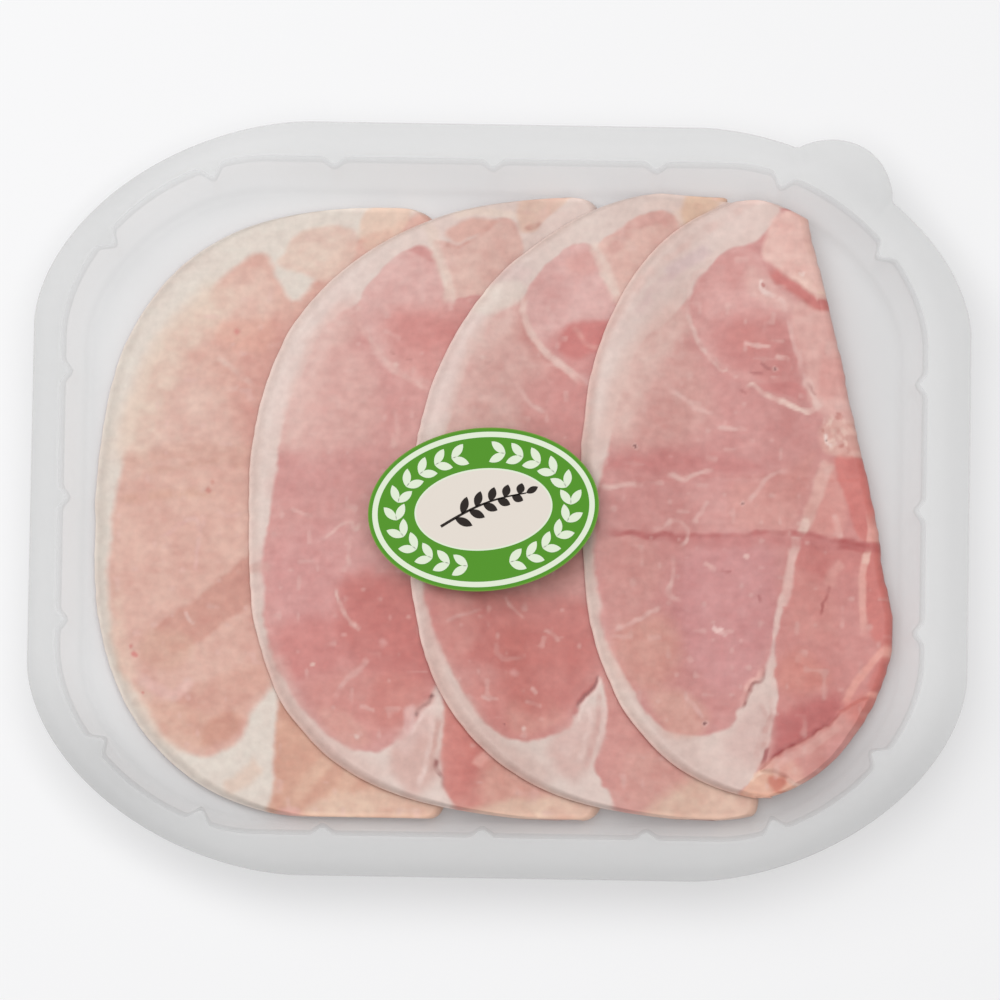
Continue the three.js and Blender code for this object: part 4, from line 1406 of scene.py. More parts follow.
# %% Third slice: knuckle
def third_knuckle(c):
    """Cracks along the knuckle, painted darker as shade in them, and the muscle right of it."""
    tail = [(47.4, -41), (52, -38), (95, -38), (95, -80), (56, -77), (48.6, -69), (46.6, -63), (48, -51)]
    c.patch(tail, (204, 142, 134), 1.2, 0.95)
    c.patch(
        [(50, -62), (56, -58), (68, -60), (72, -66), (62, -71), (52, -71)], (213, 162, 151), 6.0, 0.75
    )
    c.patch([(48, -58), (52, -60), (52, -66), (48, -66)], (205, 142, 134), 3.0, 0.6)
    c.patch([(62, -69), (72, -63), (95, -66), (95, -80), (56, -80), (54, -76)], (219, 187, 167), 5.0, 0.9)
    c.patch([(34, -58), (44, -49), (46.6, -52), (45, -60), (40, -66)], (205, 167, 158), 4.0, 0.85)
    # cracks painted darker as shade in them
    c.line([(45.6, -44), (46, -50), (44.4, -57), (42.6, -64)], 0.8, (202, 156, 148), 0.7, 0.9, -0.08)
    c.line([(43.6, -47), (43.4, -54), (41, -62)], 0.8, (226, 200, 192), 0.8, 0.9)
    c.line([(47, -45), (47.4, -51), (45.6, -58)], 0.8, (228, 198, 190), 0.7, 0.8)
    torn = [(45.8, -40), (44.2, -43.2), (42, -46), (40.6, -48.6), (39.4, -52)]
    torn_edge(c, torn, (0.8, -0.5), (230, 204, 196), (184, 96, 92), (130, 74, 70), 0.9)
    c.line([(55, -60.6), (52.4, -63), (52, -66)], 0.6, (226, 172, 162), 0.8, 0.7)
    c.line([(46, -45), (47.2, -52), (45.6, -60)], 0.5, (204, 160, 152), 1.0, 0.5, -0.06)
    c.line([(36, -60), (41, -54), (44.6, -47)], 1.6, (222, 192, 184), 2.4, 0.4)


# %% [markdown]
# The last slice shows in full, up to its fold, so it has the most to draw. Its fat comes
# first, then the meat in one tone, and then each muscle over it from the large to the small.

# %% Last slice: fat and meat
def last_fat(c):
    """The fat, with a painted highlight along its middle and pinker margins, and the outline of the meat.
    """
    # a painted highlight along the middle of the fat rim
    c.line(
        [(45, 72), (38, 70), (28, 64), (18, 54.5), (10, 45), (5, 35), (3, 25), (2, 15)],
        3.0, (222, 199, 191), 4.0, 0.6,
    )
    c.line([(2.4, 12), (2, -8), (3, -24), (6, -36), (12, -48), (20, -57)], 1.0, (225, 203, 193), 1.6, 0.7)
    c.line(
        [(45, 77), (34, 71), (22, 62), (11, 51), (5, 39), (1.6, 24), (0, 8)],
        0.9, (218, 178, 168), 1.4, 0.55,
    )
    c.line([(19.4, 55.6), (23.9, 59.6), (30.9, 63.8)], 1.0, (208, 180, 180), 1.8, 0.6)
    c.line([(12, 46), (17, 52.5), (22, 57)], 0.99, (206, 172, 170), 1.5, 0.5)
    c.line([(31, 66), (37, 68), (43, 70)], 2.0, (224, 199, 190), 2.5, 0.6)
    rim = [
        (47, 72), (42.6, 66.4), (38.8, 64), (34.3, 62.7), (30.4, 58.4), (26.1, 53.2), (22, 47.2),
        (15.4, 41.4), (11.4, 34.1), (8.2, 22.4), (5.8, 11), (4, 2), (3.4, -7.3), (4.7, -21.3),
        (7.5, -34.1), (11.8, -42.6), (16.4, -49.5), (21, -53.8), (28.1, -54.8), (33.4, -54),
        (37.6, -51.9),
    ]
    spur = [
        (38.2, -48.5), (40.2, -46), (41.8, -42), (44.1, -39.7), (45.9, -34), (46.8, -25), (48.8, -20),
        (49, -24), (47, -31), (47, -37), (47.5, -42), (47.7, -46.3), (47.2, -50), (46.3, -53.4),
        (45.4, -57), (44.4, -60), (43, -64), (42, -72), (90, -72), (90, 84),
    ]
    c.patch(rim + spur + [(50, 78)], (203, 142, 137), 1.1, meat=1.0)


# %% Last slice: big muscle
def last_big_muscle(c):
    """Tones of the big muscle."""
    c.patch([(12, 30), (20, 42), (28, 36), (30, 20), (12, 14)], (213, 166, 157), 8.0, 0.75)
    c.line(
        [(27, 49), (20, 43.5), (15.5, 37), (11.6, 30), (9, 22), (6.6, 11)],
        3.4, (219, 184, 174), 5.0, 0.95,
    )
    c.patch(
        [(5.4, 9.6), (14, 12.6), (30, 13.6), (44, 10), (30, 8.4), (12, 8.6)], (198, 127, 123), 3.5, 0.8
    )
    c.patch([(10, -2), (30, 4), (50, 0), (50, -5), (24, -6), (6, -5.4)], (209, 152, 146), 5.0, 0.6)
    c.patch([(5, -8), (16, -7.6), (18, -20), (8, -30), (5, -20)], (209, 153, 145), 5.0, 0.7)
    c.patch([(26, -10), (46, -10), (46, -34), (34, -44), (22, -30)], (201, 139, 138), 7.0, 0.8)
    c.patch([(8, -32), (18, -26), (24, -32), (20, -44), (12, -43)], (214, 160, 146), 6.0, 0.75)
    c.patch([(17, -46), (24, -44), (31, -50), (28, -55), (21, -54)], (216, 167, 153), 3.5, 0.8)
    c.patch([(36, 6), (46, 8), (56, 14), (54, 4), (50, -4), (38, -4)], (211, 150, 141), 5.0, 0.7)


# %% Last slice: muscle right of the seam
def last_right_muscle(c):
    """The muscle at the fold, and a painted shadow above the raised flap: a dark wedge and a line."""
    right = [
        (62, 14), (59.8, 12.8), (56.6, 8.6), (54.2, 1), (51.6, -5), (50.8, -14), (49.2, -21), (47.6, -30),
        (47.1, -37), (47.5, -46), (46.3, -53.4), (44.4, -60), (46, -66), (90, -66), (90, 10), (66, 13),
    ]
    c.patch(right, (205, 138, 132), 0.9, 0.95)
    c.patch([(52, -7), (70, -7.4), (70, -12), (60, -16), (52, -14)], (200, 122, 116), 4.0, 0.8)
    c.patch([(56, 4), (60, 11), (64, 2), (62, -5), (55, -4.6)], (213, 148, 139), 3.0, 0.8)
    c.patch([(50, -14), (58, -18), (62, -28), (56, -32), (50, -26)], (212, 146, 138), 5.0, 0.7)
    c.patch([(48, -36), (54, -34), (60, -40), (54, -44), (48, -43)], (211, 138, 126), 4.0, 0.7)
    # painted shade below the crease across, as a dark band at its right
    c.patch(
        [(61, 14), (64, 14.6), (67, 10), (72, 2), (74, -6), (67, -6), (64, 2), (61, 9)],
        (207, 118, 110), 1.2, 0.9,
    )
    c.patch(
        [(68.4, -7), (78, -7), (82, -30), (80, -46), (70, -43), (72, -34), (68.6, -26)],
        (204, 117, 109), 1.8, 0.9,
    )
    # painted shadow of the raised flap on the meat above its edge: a dark wedge and a darker line
    flap_shadow_wedge = [
        (46.4, -50), (50, -48.5), (55, -46), (61, -43.5), (64, -46.5), (61.1, -49.8), (57, -52.8),
        (53, -55.8), (48.9, -58.4), (44.2, -62.4), (44.2, -60), (45.6, -56), (46.4, -53),
    ]
    c.patch(flap_shadow_wedge, (189, 105, 103), 4.0, 0.85)
    c.line(
        [(62.9, -48), (57.9, -52.2), (53.2, -55.7), (49, -58.2), (45.2, -61.2)],
        0.99, (160, 78, 78), 1.2, 1.1,
    )


# %% Last slice: round muscle
def last_round_muscle(c):
    """The round muscle, and the lighter one above the upper crease."""
    ball = [
        (38, 63.4), (34.3, 62.4), (30.4, 58.6), (26.4, 54.6), (25.4, 50), (26.4, 44), (29.6, 38.6),
        (34.3, 33.6), (39.4, 30.6), (47, 30), (50.6, 38), (49.4, 46), (48, 51.6), (44, 57), (41.4, 61.6),
    ]
    c.patch(ball, (212, 158, 152), 1.2, 0.9)
    c.patch(
        [(31, 43), (36, 47), (44, 47), (50, 44), (50, 32), (42, 31), (33, 37)], (199, 128, 123), 6.0, 0.85
    )
    c.patch([(35, 42.6), (39, 45), (44, 41), (40, 37.6)], (199, 124, 117), 4.0, 0.6)
    c.patch([(33, 60), (38, 61.6), (42, 57), (36, 54)], (209, 150, 144), 3.0, 0.7)
    upper = [
        (46.8, 71.8), (43.6, 66.4), (42.2, 61.8), (45.4, 58.8), (51.4, 54.6), (56.2, 52), (62, 53),
        (60, 76),
    ]
    c.patch(upper, (226, 185, 174), 1.6, 0.95)
    c.patch(
        [(50.4, 50), (57, 50), (66, 44), (66, 22), (55, 26), (52.4, 36), (50, 44)],
        (220, 172, 163), 2.5, 0.9,
    )
    c.patch(
        [(56.7, 36.6), (60, 37.8), (62.4, 35), (62.5, 31.8), (61, 29), (58.8, 27.6), (56.4, 29)],
        (216, 157, 149), 1.8, 0.75,
    )
    c.patch([(40, 59), (48, 52), (52, 49), (45, 49.6), (39, 54)], (219, 176, 167), 3.0, 0.8)


# %% Last slice: upper crease
def last_upper_crease(c):
    """The crease, painted dark as shade with its ridge painted light as a highlight, the ragged bits
    round it and the orange margin.
    """
    # the crease painted dark as shade, and its ridge painted light as a highlight
    shaded_crease = [(43.5, 59), (47.2, 56.2), (50.8, 53.6), (53.8, 51.6), (56.4, 50.4), (58, 49.8)]
    c.line(shaded_crease, 1.2, (199, 112, 106), 1.8, 0.85, -0.3)
    c.line([(49, 58.2), (52.6, 55.4), (55.6, 53.2), (57, 52.2)], 1.0, (229, 188, 176), 1.4, 0.9, 0.25)
    c.line([(56.2, 52.7), (57.4, 51.3), (58.9, 50), (59.5, 48.7)], 0.6, (196, 112, 92), 0.5, 1.2)
    c.line([(55.6, 54), (57.6, 52.6), (59.4, 51.8), (60.2, 50.2)], 0.9, (238, 212, 188), 0.7, 1.2, 0.15)
    c.line([(51.2, 57.8), (52.2, 57.2), (52.6, 58.4)], 0.5, (236, 206, 196), 0.5, 1.2)
    c.line([(42.3, 56.1), (42.6, 54), (44.2, 52.6), (46.4, 51.8)], 0.7, (231, 202, 194), 0.6, 1.2)
    c.line([(42.4, 54.8), (43.6, 53.8)], 0.5, (182, 104, 98), 0.35, 1.0)
    c.line([(46, 51.6), (47.8, 50.2), (48.2, 48.4)], 0.6, (228, 192, 184), 0.6, 0.9)
    # margins of the fold, orange where it is thin
    c.line([(52, 77), (55.5, 64), (58, 57), (61, 50)], 1.8, (231, 193, 172), 1.8, 0.85, fade=0.05)
    c.line(
        [(60.6, 51), (62, 44), (62.8, 36), (64, 28), (66, 20), (67, 14.6)],
        1.2, (229, 184, 160), 1.4, 0.8, fade=0.05,
    )
    c.line([(60.2, 44), (60.8, 40), (60.2, 37)], 0.5, (200, 126, 106), 0.5, 0.9)


# %% Last slice: pale seams
def last_seams(c):
    """The round muscle's pale line, the V-shaped seam and the upright one."""
    c.line(
        [(31.2, 60.6), (26.2, 56), (24.6, 51.6), (25.2, 45.6), (28.4, 39.6), (34, 33.4)],
        0.7, (224, 193, 184), 0.8, 0.9, -0.05,
    )
    c.line([(29.4, 37.4), (31.6, 35), (33.4, 33.6), (35.2, 34)], 0.5, SEAM, 0.5, 0.9)
    low_v = [
        (38.6, 28.8), (40.6, 29.8), (43.2, 28.2), (46, 26.8), (49.2, 25.6), (53.5, 24.2), (55.6, 25.8),
    ]
    c.line(low_v + [(55.2, 28), (54, 30)], 0.99, (231, 198, 187), 0.6, 1.3, 0.05)
    c.line(
        [(54, 30), (52.5, 32), (51.7, 36.5), (50.7, 39.8), (49.6, 44.2), (49.4, 47)],
        0.8, (223, 183, 175), 0.9, 0.9,
    )
    c.patch(
        [(52.4, 31), (54, 32.6), (55.8, 28), (57.4, 26), (55.8, 25), (54.6, 28)],
        (226, 190, 181), 1.0, 0.7,
    )
    c.patch([(42, 30.4), (50, 31.4), (53.4, 27.6), (49, 27.4), (44, 29)], (202, 128, 124), 1.0, 0.75)
    c.lines(
        [
            [(39.6, 33.2), (41.6, 32.8), (43.6, 33.4)],
            [(42.4, 35.4), (44, 34.4), (46.4, 34)],
            [(53.4, 31.2), (54.6, 29.6), (56, 28.2)],
            [(37.6, 28.8), (39.6, 27.8)],
        ],
        0.5, (164, 92, 90), 0.4, 0.8,
    )


# %% Last slice: crumbly patch
CRUMB_STROKES, CRUMB_SEED = 34, 7
PALE_SHARE = 0.65
BEND = 0.2


def last_crumbs(c):
    """A patch of short torn strokes, some pale and some dark."""
    c.patch([(57.4, 21.1), (65, 22), (67, 15), (62, 13.6), (58, 15)], (219, 173, 160), 2.0, 0.75)
    crumbs = np.random.default_rng(CRUMB_SEED)
    for _ in range(CRUMB_STROKES):
        u, v = crumbs.uniform(57.6, 66.0), crumbs.uniform(14.0, 23.0)
        heading, reach = crumbs.uniform(0.3, 2.4), crumbs.uniform(0.4, 1.1)
        end = (u + reach * math.cos(heading), v + reach * math.sin(heading))
        middle = ((u + end[0]) / 2 + BEND, (v + end[1]) / 2)
        ink = (232, 200, 186) if crumbs.random() < PALE_SHARE else (186, 116, 106)
        c.line([(u, v), middle, end], 0.5, ink, 0.5, 0.9, fade=0.0)
    c.line([(58.2, 19.4), (58.6, 17.4), (59.8, 15.8)], 0.5, (242, 222, 214), 0.6, 1.2)
    c.line([(58.5, 18), (58.7, 17.1)], 0.5, (120, 70, 66), 0.3, 1.2)


# %% Last slice: main seam
def last_main_seam(c):
    """The seam from the knuckle up to the crumbly patch, and those right of it."""
    c.line([(46.6, -32), (47.4, -26.5), (48.6, -22), (49.9, -18.6)], 0.9, (226, 190, 181), 0.7, 1.2)
    c.line(
        [(48.4, -23), (49.8, -18.6), (50.8, -11.2), (51.4, -5.5)],
        1.1, (224, 186, 177), 1.0, 0.9, -0.05, 0.04,
    )
    c.line(
        [(52, -4.6), (54.3, -2), (55.6, 2), (56.8, 6), (58, 9.4), (59.8, 12.8)],
        1.5, (220, 174, 163), 1.3, 0.8, fade=0.1,
    )
    c.patch([(51.6, -4.8), (53, -2), (54.6, -1.8), (54.2, -4.6), (52.6, -6)], (226, 194, 182), 0.8, 0.75)
    strip = [(69.2, 3.4), (69.4, -5.7), (68.6, -10), (67.5, -15.4), (67.5, -22.4), (68.2, -31.4)]
    c.line(strip, 1.0, (226, 168, 156), 0.7, 0.8)
    c.line([(68.8, -8.4), (68.2, -12)], 1.0, (228, 186, 172), 0.7, 0.8)
    c.line([(60.5, -0.5), (61.6, -3.2), (62.3, -7)], 0.99, (228, 184, 174), 0.8, 1.0)
    c.line([(62.8, -11.8), (60.5, -14.5), (59.7, -18.2)], 1.2, (216, 156, 147), 1.8, 0.7)
    c.line([(59.9, -16.7), (57.9, -22.1), (57.2, -25.3)], 0.5, (170, 92, 88), 0.4, 1.1)
    c.line(
        [(77, -28), (73.8, -31.7), (69.2, -37.6), (65.7, -42.2), (63.4, -46.8)],
        1.0, (227, 163, 150), 0.9, 0.85,
    )


# %% Last slice: crease across
def last_crease(c):
    """The meat above the crease lies a little over the meat below it, and a painted shadow darkens the
    crease and a band below it.
    """
    across = [
        (5, -6.3), (14, -6.8), (20.4, -6.6), (27.3, -6.4), (35.9, -6.3), (43.3, -5.6), (50.7, -5.0),
        (53.3, -5.5), (61.4, -6.6), (65.7, -7.2), (78, -7.4),
    ]
    above = [(78, 8), (60, 8), (40, 8), (20, 7), (5, 4)]
    c.patch(across + above, None, 1.2, 1.0, 0.3)
    c.patch(across + above, None, 9.0, 1.0, -0.28)
    # painted shadow along the crease and in a band below it
    c.line(across, 0.8, (182, 98, 96), 0.9, 1.0, -0.08, 0.05)
    c.patch(
        [(15, -6.6), (44, -5.8), (62, -6.6), (62, -9), (44, -8.6), (30, -9.4)], (192, 118, 115), 2.4, 0.6
    )
    c.line([(61, -7.2), (68, -7.8), (78, -7.8)], 1.2, (176, 80, 78), 1.2, 0.7, -0.1)


# %% Last slice: veins and flecks
def last_veins(c):
    """Pale veins, a bright fork, pale spots and dark flecks."""
    c.lines(
        [
            [(19.8, 29), (24.7, 26.4), (27.3, 24), (32, 23.2)],
            [(21, 9.2), (23.9, 7), (28.3, 8.4), (31.9, 9.6)],
            [(39.4, 0.8), (42, 4.6), (44.9, 8.1), (50, 9.6)],
            [(4.3, 3.9), (9, 5.1), (15.5, 4.9)],
            [(27, -3.4), (28.4, -1), (30.4, 2.4)],
            [(15, -6.2), (18.6, -5.2), (20.4, -4.2), (23, -3.0), (25.6, -4.6), (25, -7.6), (22.6, -9.2)],
            [(21.4, -10.5), (22.4, -16.2), (21.1, -20.6), (24.4, -23.2)],
            [(29.4, -12.9), (33.2, -14.4)],
            [(38.2, 40.8), (40.9, 40), (44.9, 39.6)],
            [(45.6, 37.4), (49.3, 36.6)],
            [(24.8, -45), (28, -48.6), (30.2, -51)],
            [(8, -30.5), (14, -27.5), (20, -23.5)],
            [(32, 20.4), (36, 19.4), (40, 20)],
        ],
        0.6, (224, 184, 176), 0.7, 0.95,
    )
    c.line([(32, -28.3), (33.6, -29.6), (35.4, -30.9)], 0.9, (234, 202, 195), 0.6, 1.2)
    c.line([(34.4, -28.6), (33.6, -29.8)], 0.6, (232, 198, 192), 0.5, 1.2)
    c.dot(39.6, -11.3, 0.75, (226, 188, 180), 0.6, 0.85)
    c.dot(26.2, -36.4, 0.9, (216, 170, 164), 1.0, 0.6)
    for u, v, size in ((12.6, 14.2, 0.42), (45.8, 34.2, 0.28), (38.6, 1.5, 0.3), (30.5, -51.8, 0.38)):
        c.dot(u, v, size + 0.4, (222, 184, 176), 0.5, 0.5)
        c.dot(u, v, size, (118, 66, 66), 0.35, 0.9, -0.1)
    dashes = [[(33.9, -14.5), (35.4, -15.2), (36.8, -15)], [(42.6, -20.4), (43.2, -22.6)]]
    c.lines(dashes, 0.5, (170, 96, 96), 0.4, 0.9)


# %% Last slice: knuckle
def last_knuckle(c):
    """A torn edge on its left side, with a painted highlight on its lip and painted shade in its crack,
    and streaks along its right side with cracks painted darker as shade.
    """
    c.patch([(38, -52), (44, -46), (46, -54), (43, -62), (34, -60)], (210, 177, 169), 5.0, 0.85)
    c.patch([(24, -57), (34, -57), (40, -63), (30, -62)], (220, 193, 184), 3.0, 0.7)
    torn = [
        (44.9, -37.6), (44.1, -39.7), (43.7, -41.2), (41.8, -42), (41, -43.9), (40.2, -46), (39.2, -48),
    ]
    # the lip of the tear painted pale as a highlight, and its crack painted dark as shade
    c.line(shifted(torn, -0.7, 0.4), 0.99, (228, 178, 168), 0.8, 1.1, 0.1)
    c.line(torn, 0.7, (150, 84, 78), 0.4, 1.15, -0.12)
    # cracks painted darker as shade in them, with a pale streak between
    c.line(
        [(42.5, -45.6), (44.2, -48.4), (44.7, -51.8), (43.1, -56.8), (42.3, -61)],
        0.8, (205, 166, 158), 0.7, 0.8, -0.08,
    )
    c.line(
        [(45.6, -44), (46.3, -48.4), (45.3, -51.3), (44.5, -55.1), (44, -58.5)],
        0.8, (199, 152, 144), 0.6, 0.9, -0.08,
    )
    c.line([(46.6, -40), (46.9, -45), (46.5, -50)], 0.9, (229, 200, 192), 0.8, 0.9)
    c.line([(45.2, -57), (44.4, -60.4), (43.8, -62.8)], 0.7, (158, 82, 80), 0.6, 1.1, -0.1)


# %% Last slice: turned-over corner
def last_corner(c):
    """A raised flap with painted highlights along its upper edge, and thin orange meat with a pale rim
    under it, darkened at the flap's left by a painted shadow.
    """
    flap = [
        (44, -62.7), (46.5, -60.1), (50.1, -57.6), (54.2, -55.5), (57.9, -52.5), (61.1, -50.2),
        (62.9, -48.3), (66, -46), (70.1, -44.6), (80, -43), (80, -56), (68.7, -60.1), (65, -62.1),
        (61.3, -62.8), (58.1, -64.1), (54.8, -66.7), (53.2, -67.6), (51.1, -65.9), (49.4, -64.4),
        (46.7, -63.1),
    ]
    c.patch(flap, (209, 148, 140), 0.8, 0.95)
    c.patch(
        [(64, -46), (72, -42.6), (80, -42), (80, -54), (70, -54), (65, -50)], (206, 124, 114), 4.0, 0.85
    )
    c.patch([(60, -56), (66, -54), (70, -58), (66, -61), (60, -61)], (211, 147, 142), 3.0, 0.7)
    c.patch([(44, -62.5), (47, -60.5), (52, -61), (53.6, -66.6)], (226, 176, 160), 3.0, 0.8)
    # a painted highlight along the flap's upper edge
    c.line(
        [(46.6, -62), (50.8, -59.7), (55.1, -57.3), (59, -54.3), (63, -50.9)],
        1.0, (221, 172, 162), 1.0, 0.6,
    )
    c.patch(flap, None, 1.2, 1.0, 1.2)
    # a painted highlight along the right part of the flap's upper edge
    c.line([(68.4, -44.3), (71.3, -43.5), (74.6, -43.7), (77, -44.2)], 0.99, (229, 162, 148), 0.7, 1.1)
    # under it, thin orange meat with a pale rim, and a painted shadow of the flap at its left
    below = [(42.4, -63.6), (46.6, -63.6), (49.4, -64.9), (51, -66.4), (53.2, -68.2), (55, -67.2)]
    c.patch(
        below + [(58.2, -64.7), (62, -63.3), (68, -61.2), (84, -58), (84, -76), (42, -76)],
        (226, 180, 156), 0.7, 0.95,
    )
    # painted shadow of the raised flap on the meat below its left end
    c.patch(
        [(45.6, -64.4), (48.6, -64.6), (50, -65.6), (47.6, -68.6), (46.4, -67)], (203, 124, 104), 1.2, 0.9
    )
    c.patch(
        [(51.6, -67.4), (53.2, -68.4), (56, -66.8), (58.6, -64.9), (60, -66.4), (56, -69.4)],
        (207, 132, 110), 1.4, 0.9,
    )
    c.line(
        [(41.6, -66), (42.2, -64.2), (43.8, -63.4), (46.5, -63.2), (48.8, -64.2)],
        0.99, (238, 204, 184), 0.6, 1.2, 0.2,
    )
    c.line([(49.2, -64.4), (51.2, -66), (53.2, -67.6), (55, -66.6)], 0.8, (240, 205, 188), 0.5, 1.2)
    c.line([(57.8, -64.6), (61.3, -63.3), (65.6, -62.2)], 0.7, (198, 106, 90), 0.6, 1.1)


# %% All painters
PAINTERS = [
    [first_meat, first_bands, first_details],
    [second_meat, second_tones, second_round_muscle, second_details, second_knuckle],
    [third_meat, third_tones, third_round_muscle, third_details, third_knuckle],
    [
        last_fat, last_big_muscle, last_right_muscle, last_round_muscle, last_upper_crease,
        last_seams, last_crumbs, last_main_seam, last_crease, last_veins, last_knuckle,
        last_corner,
    ],
]
print("painters for each slice:", [len(group) for group in PAINTERS])

# %% [markdown]
# ## Finish of the ham
#
# Cooked ham is moist and finely grained. The painted colour could be used as it is, but it
# would look flat from near. So fine noise varies it by a few parts in a hundred, and the
# same noise drives a small bump that breaks up the gloss. The gloss itself is soft.

# %% Ham finish
HAM_COLOUR = "ham_colour"
GRAIN_SCALE = 420.0
GRAIN_LEAST, GRAIN_MOST = 0.94, 1.06
HAM_ROUGHNESS, HAM_SPECULAR = 0.42, 0.35
BUMP_STRENGTH, BUMP_DEPTH = 0.25, 0.0003


def ham_material(name):
    material, tree = new_material(name)
    place = tree.nodes.new("ShaderNodeTexCoord")
    painted = tree.nodes.new("ShaderNodeAttribute")
    painted.attribute_name = HAM_COLOUR
    grain = add_node(tree, "ShaderNodeTexNoise", Scale=GRAIN_SCALE, Detail=2.0, Roughness=0.6)
    tree.links.new(place.outputs["Object"], grain.inputs["Vector"])
    tone = add_node(tree, "ShaderNodeMapRange")
    tone.inputs["From Min"].default_value = 0.3
    tone.inputs["From Max"].default_value = 0.7
    tone.inputs["To Min"].default_value = GRAIN_LEAST
    tone.inputs["To Max"].default_value = GRAIN_MOST
    tree.links.new(grain.outputs["Fac"], tone.inputs["Value"])
    colour = tree.nodes.new("ShaderNodeVectorMath")
    colour.operation = "SCALE"
    tree.links.new(painted.outputs["Color"], colour.inputs[0])
    tree.links.new(tone.outputs["Result"], colour.inputs["Scale"])
    bump = add_node(tree, "ShaderNodeBump", Strength=BUMP_STRENGTH, Distance=BUMP_DEPTH)
    tree.links.new(grain.outputs["Fac"], bump.inputs["Height"])
    body = add_node(tree, "ShaderNodeBsdfPrincipled", Roughness=HAM_ROUGHNESS)
    body.inputs["Specular IOR Level"].default_value = HAM_SPECULAR
    tree.links.new(colour.outputs["Vector"], body.inputs["Base Color"])
    tree.links.new(bump.outputs["Normal"], body.inputs["Normal"])
    output(tree, body.outputs["BSDF"])
    return material


ham_finish = [ham_material(f"ham_{number + 1}") for number in range(len(SLICES))]
print("ham finishes:", len(ham_finish))

# %% [markdown]
# Between the drawn things, real ham is never even: its pink comes and goes in soft spots,
# and pale crumbs of fat lie in the lean. All that could be drawn too, but noise of a few
# sizes does it in a few lines. It works on the lean meat more than on the fat.

# %% Colour and relief of an upper face
# soft spots: how strong, how wide, and how much they are drawn out along u
SPOTS = [(0.032, 9.0, 1.0), (0.034, 3.2, 1.0), (0.030, 1.5, 1.0), (0.024, 0.9, 0.4)]
SPOT_TINT = np.array([0.7, 1.5, 1.5])
FAT_SHARE = 0.5
MEAT_DEPTH = np.array([0.015, 0.06, 0.06])
CRUMB_SIZE, CRUMB_BAND = 2.2, (0.62, 0.95)
CRUMB_STRENGTH = 0.35
SWELL, SWELL_SIZE = 0.12, 17.0
RIPPLE, RIPPLE_SIZE = 0.035, 4.5


def paint(number, x, y):
    """The colour and height of the upper face."""
    u, v = x - SLICES[number]["left"], y + 0.0 * x
    canvas = Canvas(u, v, BASES[number], 40 + 10 * number)
    for painter in PAINTERS[number]:
        painter(canvas)
    print("slice", number + 1, "is painted with", canvas.strokes, "strokes")
    seed = 500 + 20 * number
    blush = sum(
        strength * mottle(stretch * u, v, size, seed + k)
        for k, (strength, size, stretch) in enumerate(SPOTS)
    )
    blush = blush * (FAT_SHARE + canvas.meat)
    colour = canvas.colour * (1.0 + blush[..., None] * SPOT_TINT)
    colour *= 1.0 - canvas.meat[..., None] * MEAT_DEPTH
    crumbs = smoothstep(mottle(u, v, CRUMB_SIZE, seed + 5), *CRUMB_BAND) * canvas.meat
    colour += (linear(VEIN) - colour) * CRUMB_STRENGTH * crumbs[..., None]
    swell = SWELL * mottle(u, v, SWELL_SIZE, seed + 6)
    ripple = RIPPLE * mottle(u, v, RIPPLE_SIZE, seed + 7)
    return np.clip(colour, 0.0, 1.0), canvas.height + swell + ripple


# %% [markdown]
# ## Building a slice
#
# Each slice is built row by row along y. A row is the closed section of the folded sheet:
# along the upper face, round the fold, back below, and home along the inner faces. A plane
# with a Solidify modifier would be quicker to type, but it would be as fine where nothing
# shows. Here the part that shows has fine columns, and the hidden part has coarse ones.

# %% Rows and edges
ROWS = 380
ROW_BUNCH = 0.35
ROW_ENDS = [(-75.2, 72.8), (-74.8, 75.9), (-74.3, 77.0), (-69.3, 75.3)]
TOP_CORNER = (10.0, 5.0, 8.0, 4.0)
FOLD_BACK = 0.5
# small waves of an edge: how far they reach, how long they are, and their seed
LEFT_WAVES = [(0.22, 7.0, 90), (0.1, 1.8, 95)]
FOLD_WAVES = [(0.45, 7.0, 70), (0.2, 1.7, 75)]


def slice_rows(number):
    """The y of each row. The rows stand closer at both ends of the slice."""
    low, high = ROW_ENDS[number]
    middle, reach = (low + high) / 2.0, (high - low) / 2.0
    s = np.linspace(0.0, 1.0, ROWS)
    even = 2.0 * s - 1.0
    bunched = (1.0 - ROW_BUNCH) * even - ROW_BUNCH * np.cos(np.pi * s)
    return (middle + reach * bunched)[:, None]


def edge_waves(waves, number, y):
    return sum(reach * mottle(y, 0 * y, size, seed + number) for reach, size, seed in waves)


def slice_edges(number, y):
    """The x of the left edge and of the outside of the fold, row by row."""
    piece = SLICES[number]
    left = left_edge(piece, y) + edge_waves(LEFT_WAVES, number, y)
    edge = fold_edge(piece, y) - FOLD_BACK - edge_waves(FOLD_WAVES, number, y)
    corner = TOP_CORNER[number]
    rise = np.clip((y - y[-1] + corner) / corner, 0.0, 1.0)
    edge = edge - corner * (1.0 - np.sqrt(1.0 - rise * rise))
    return left, np.minimum(edge, wall_reach(y, support(number, edge, y)))


print("rows stand", round(float(np.diff(slice_rows(3)[:, 0]).max()), 2), "mm apart at most")

# %% Section of the folded sheet
SHOWN_COLUMNS = (120, 120, 120, 166)
HIDDEN_COLUMNS = 14
FOLD_STEPS = 8
UNDER_COLUMNS = 24
UNDER_INSET = 2.5
END_WIDTH = 3.0
OVERLAP = 3.0
FOLD_MARGIN, UNDER_MARGIN = 2.0, 1.0
# the columns next to a cut edge, and where the even columns begin
TIP = np.array([0.0, 0.06, 0.2, 0.45, 0.8])
TIP_END = 1.25
DROOP = 2.1
DROOP_REACH = 4.5


def spread(start, end, steps):
    """Columns between two edges that change from row to row."""
    return start + (end - start) * np.linspace(0.0, 1.0, steps)[None, :]


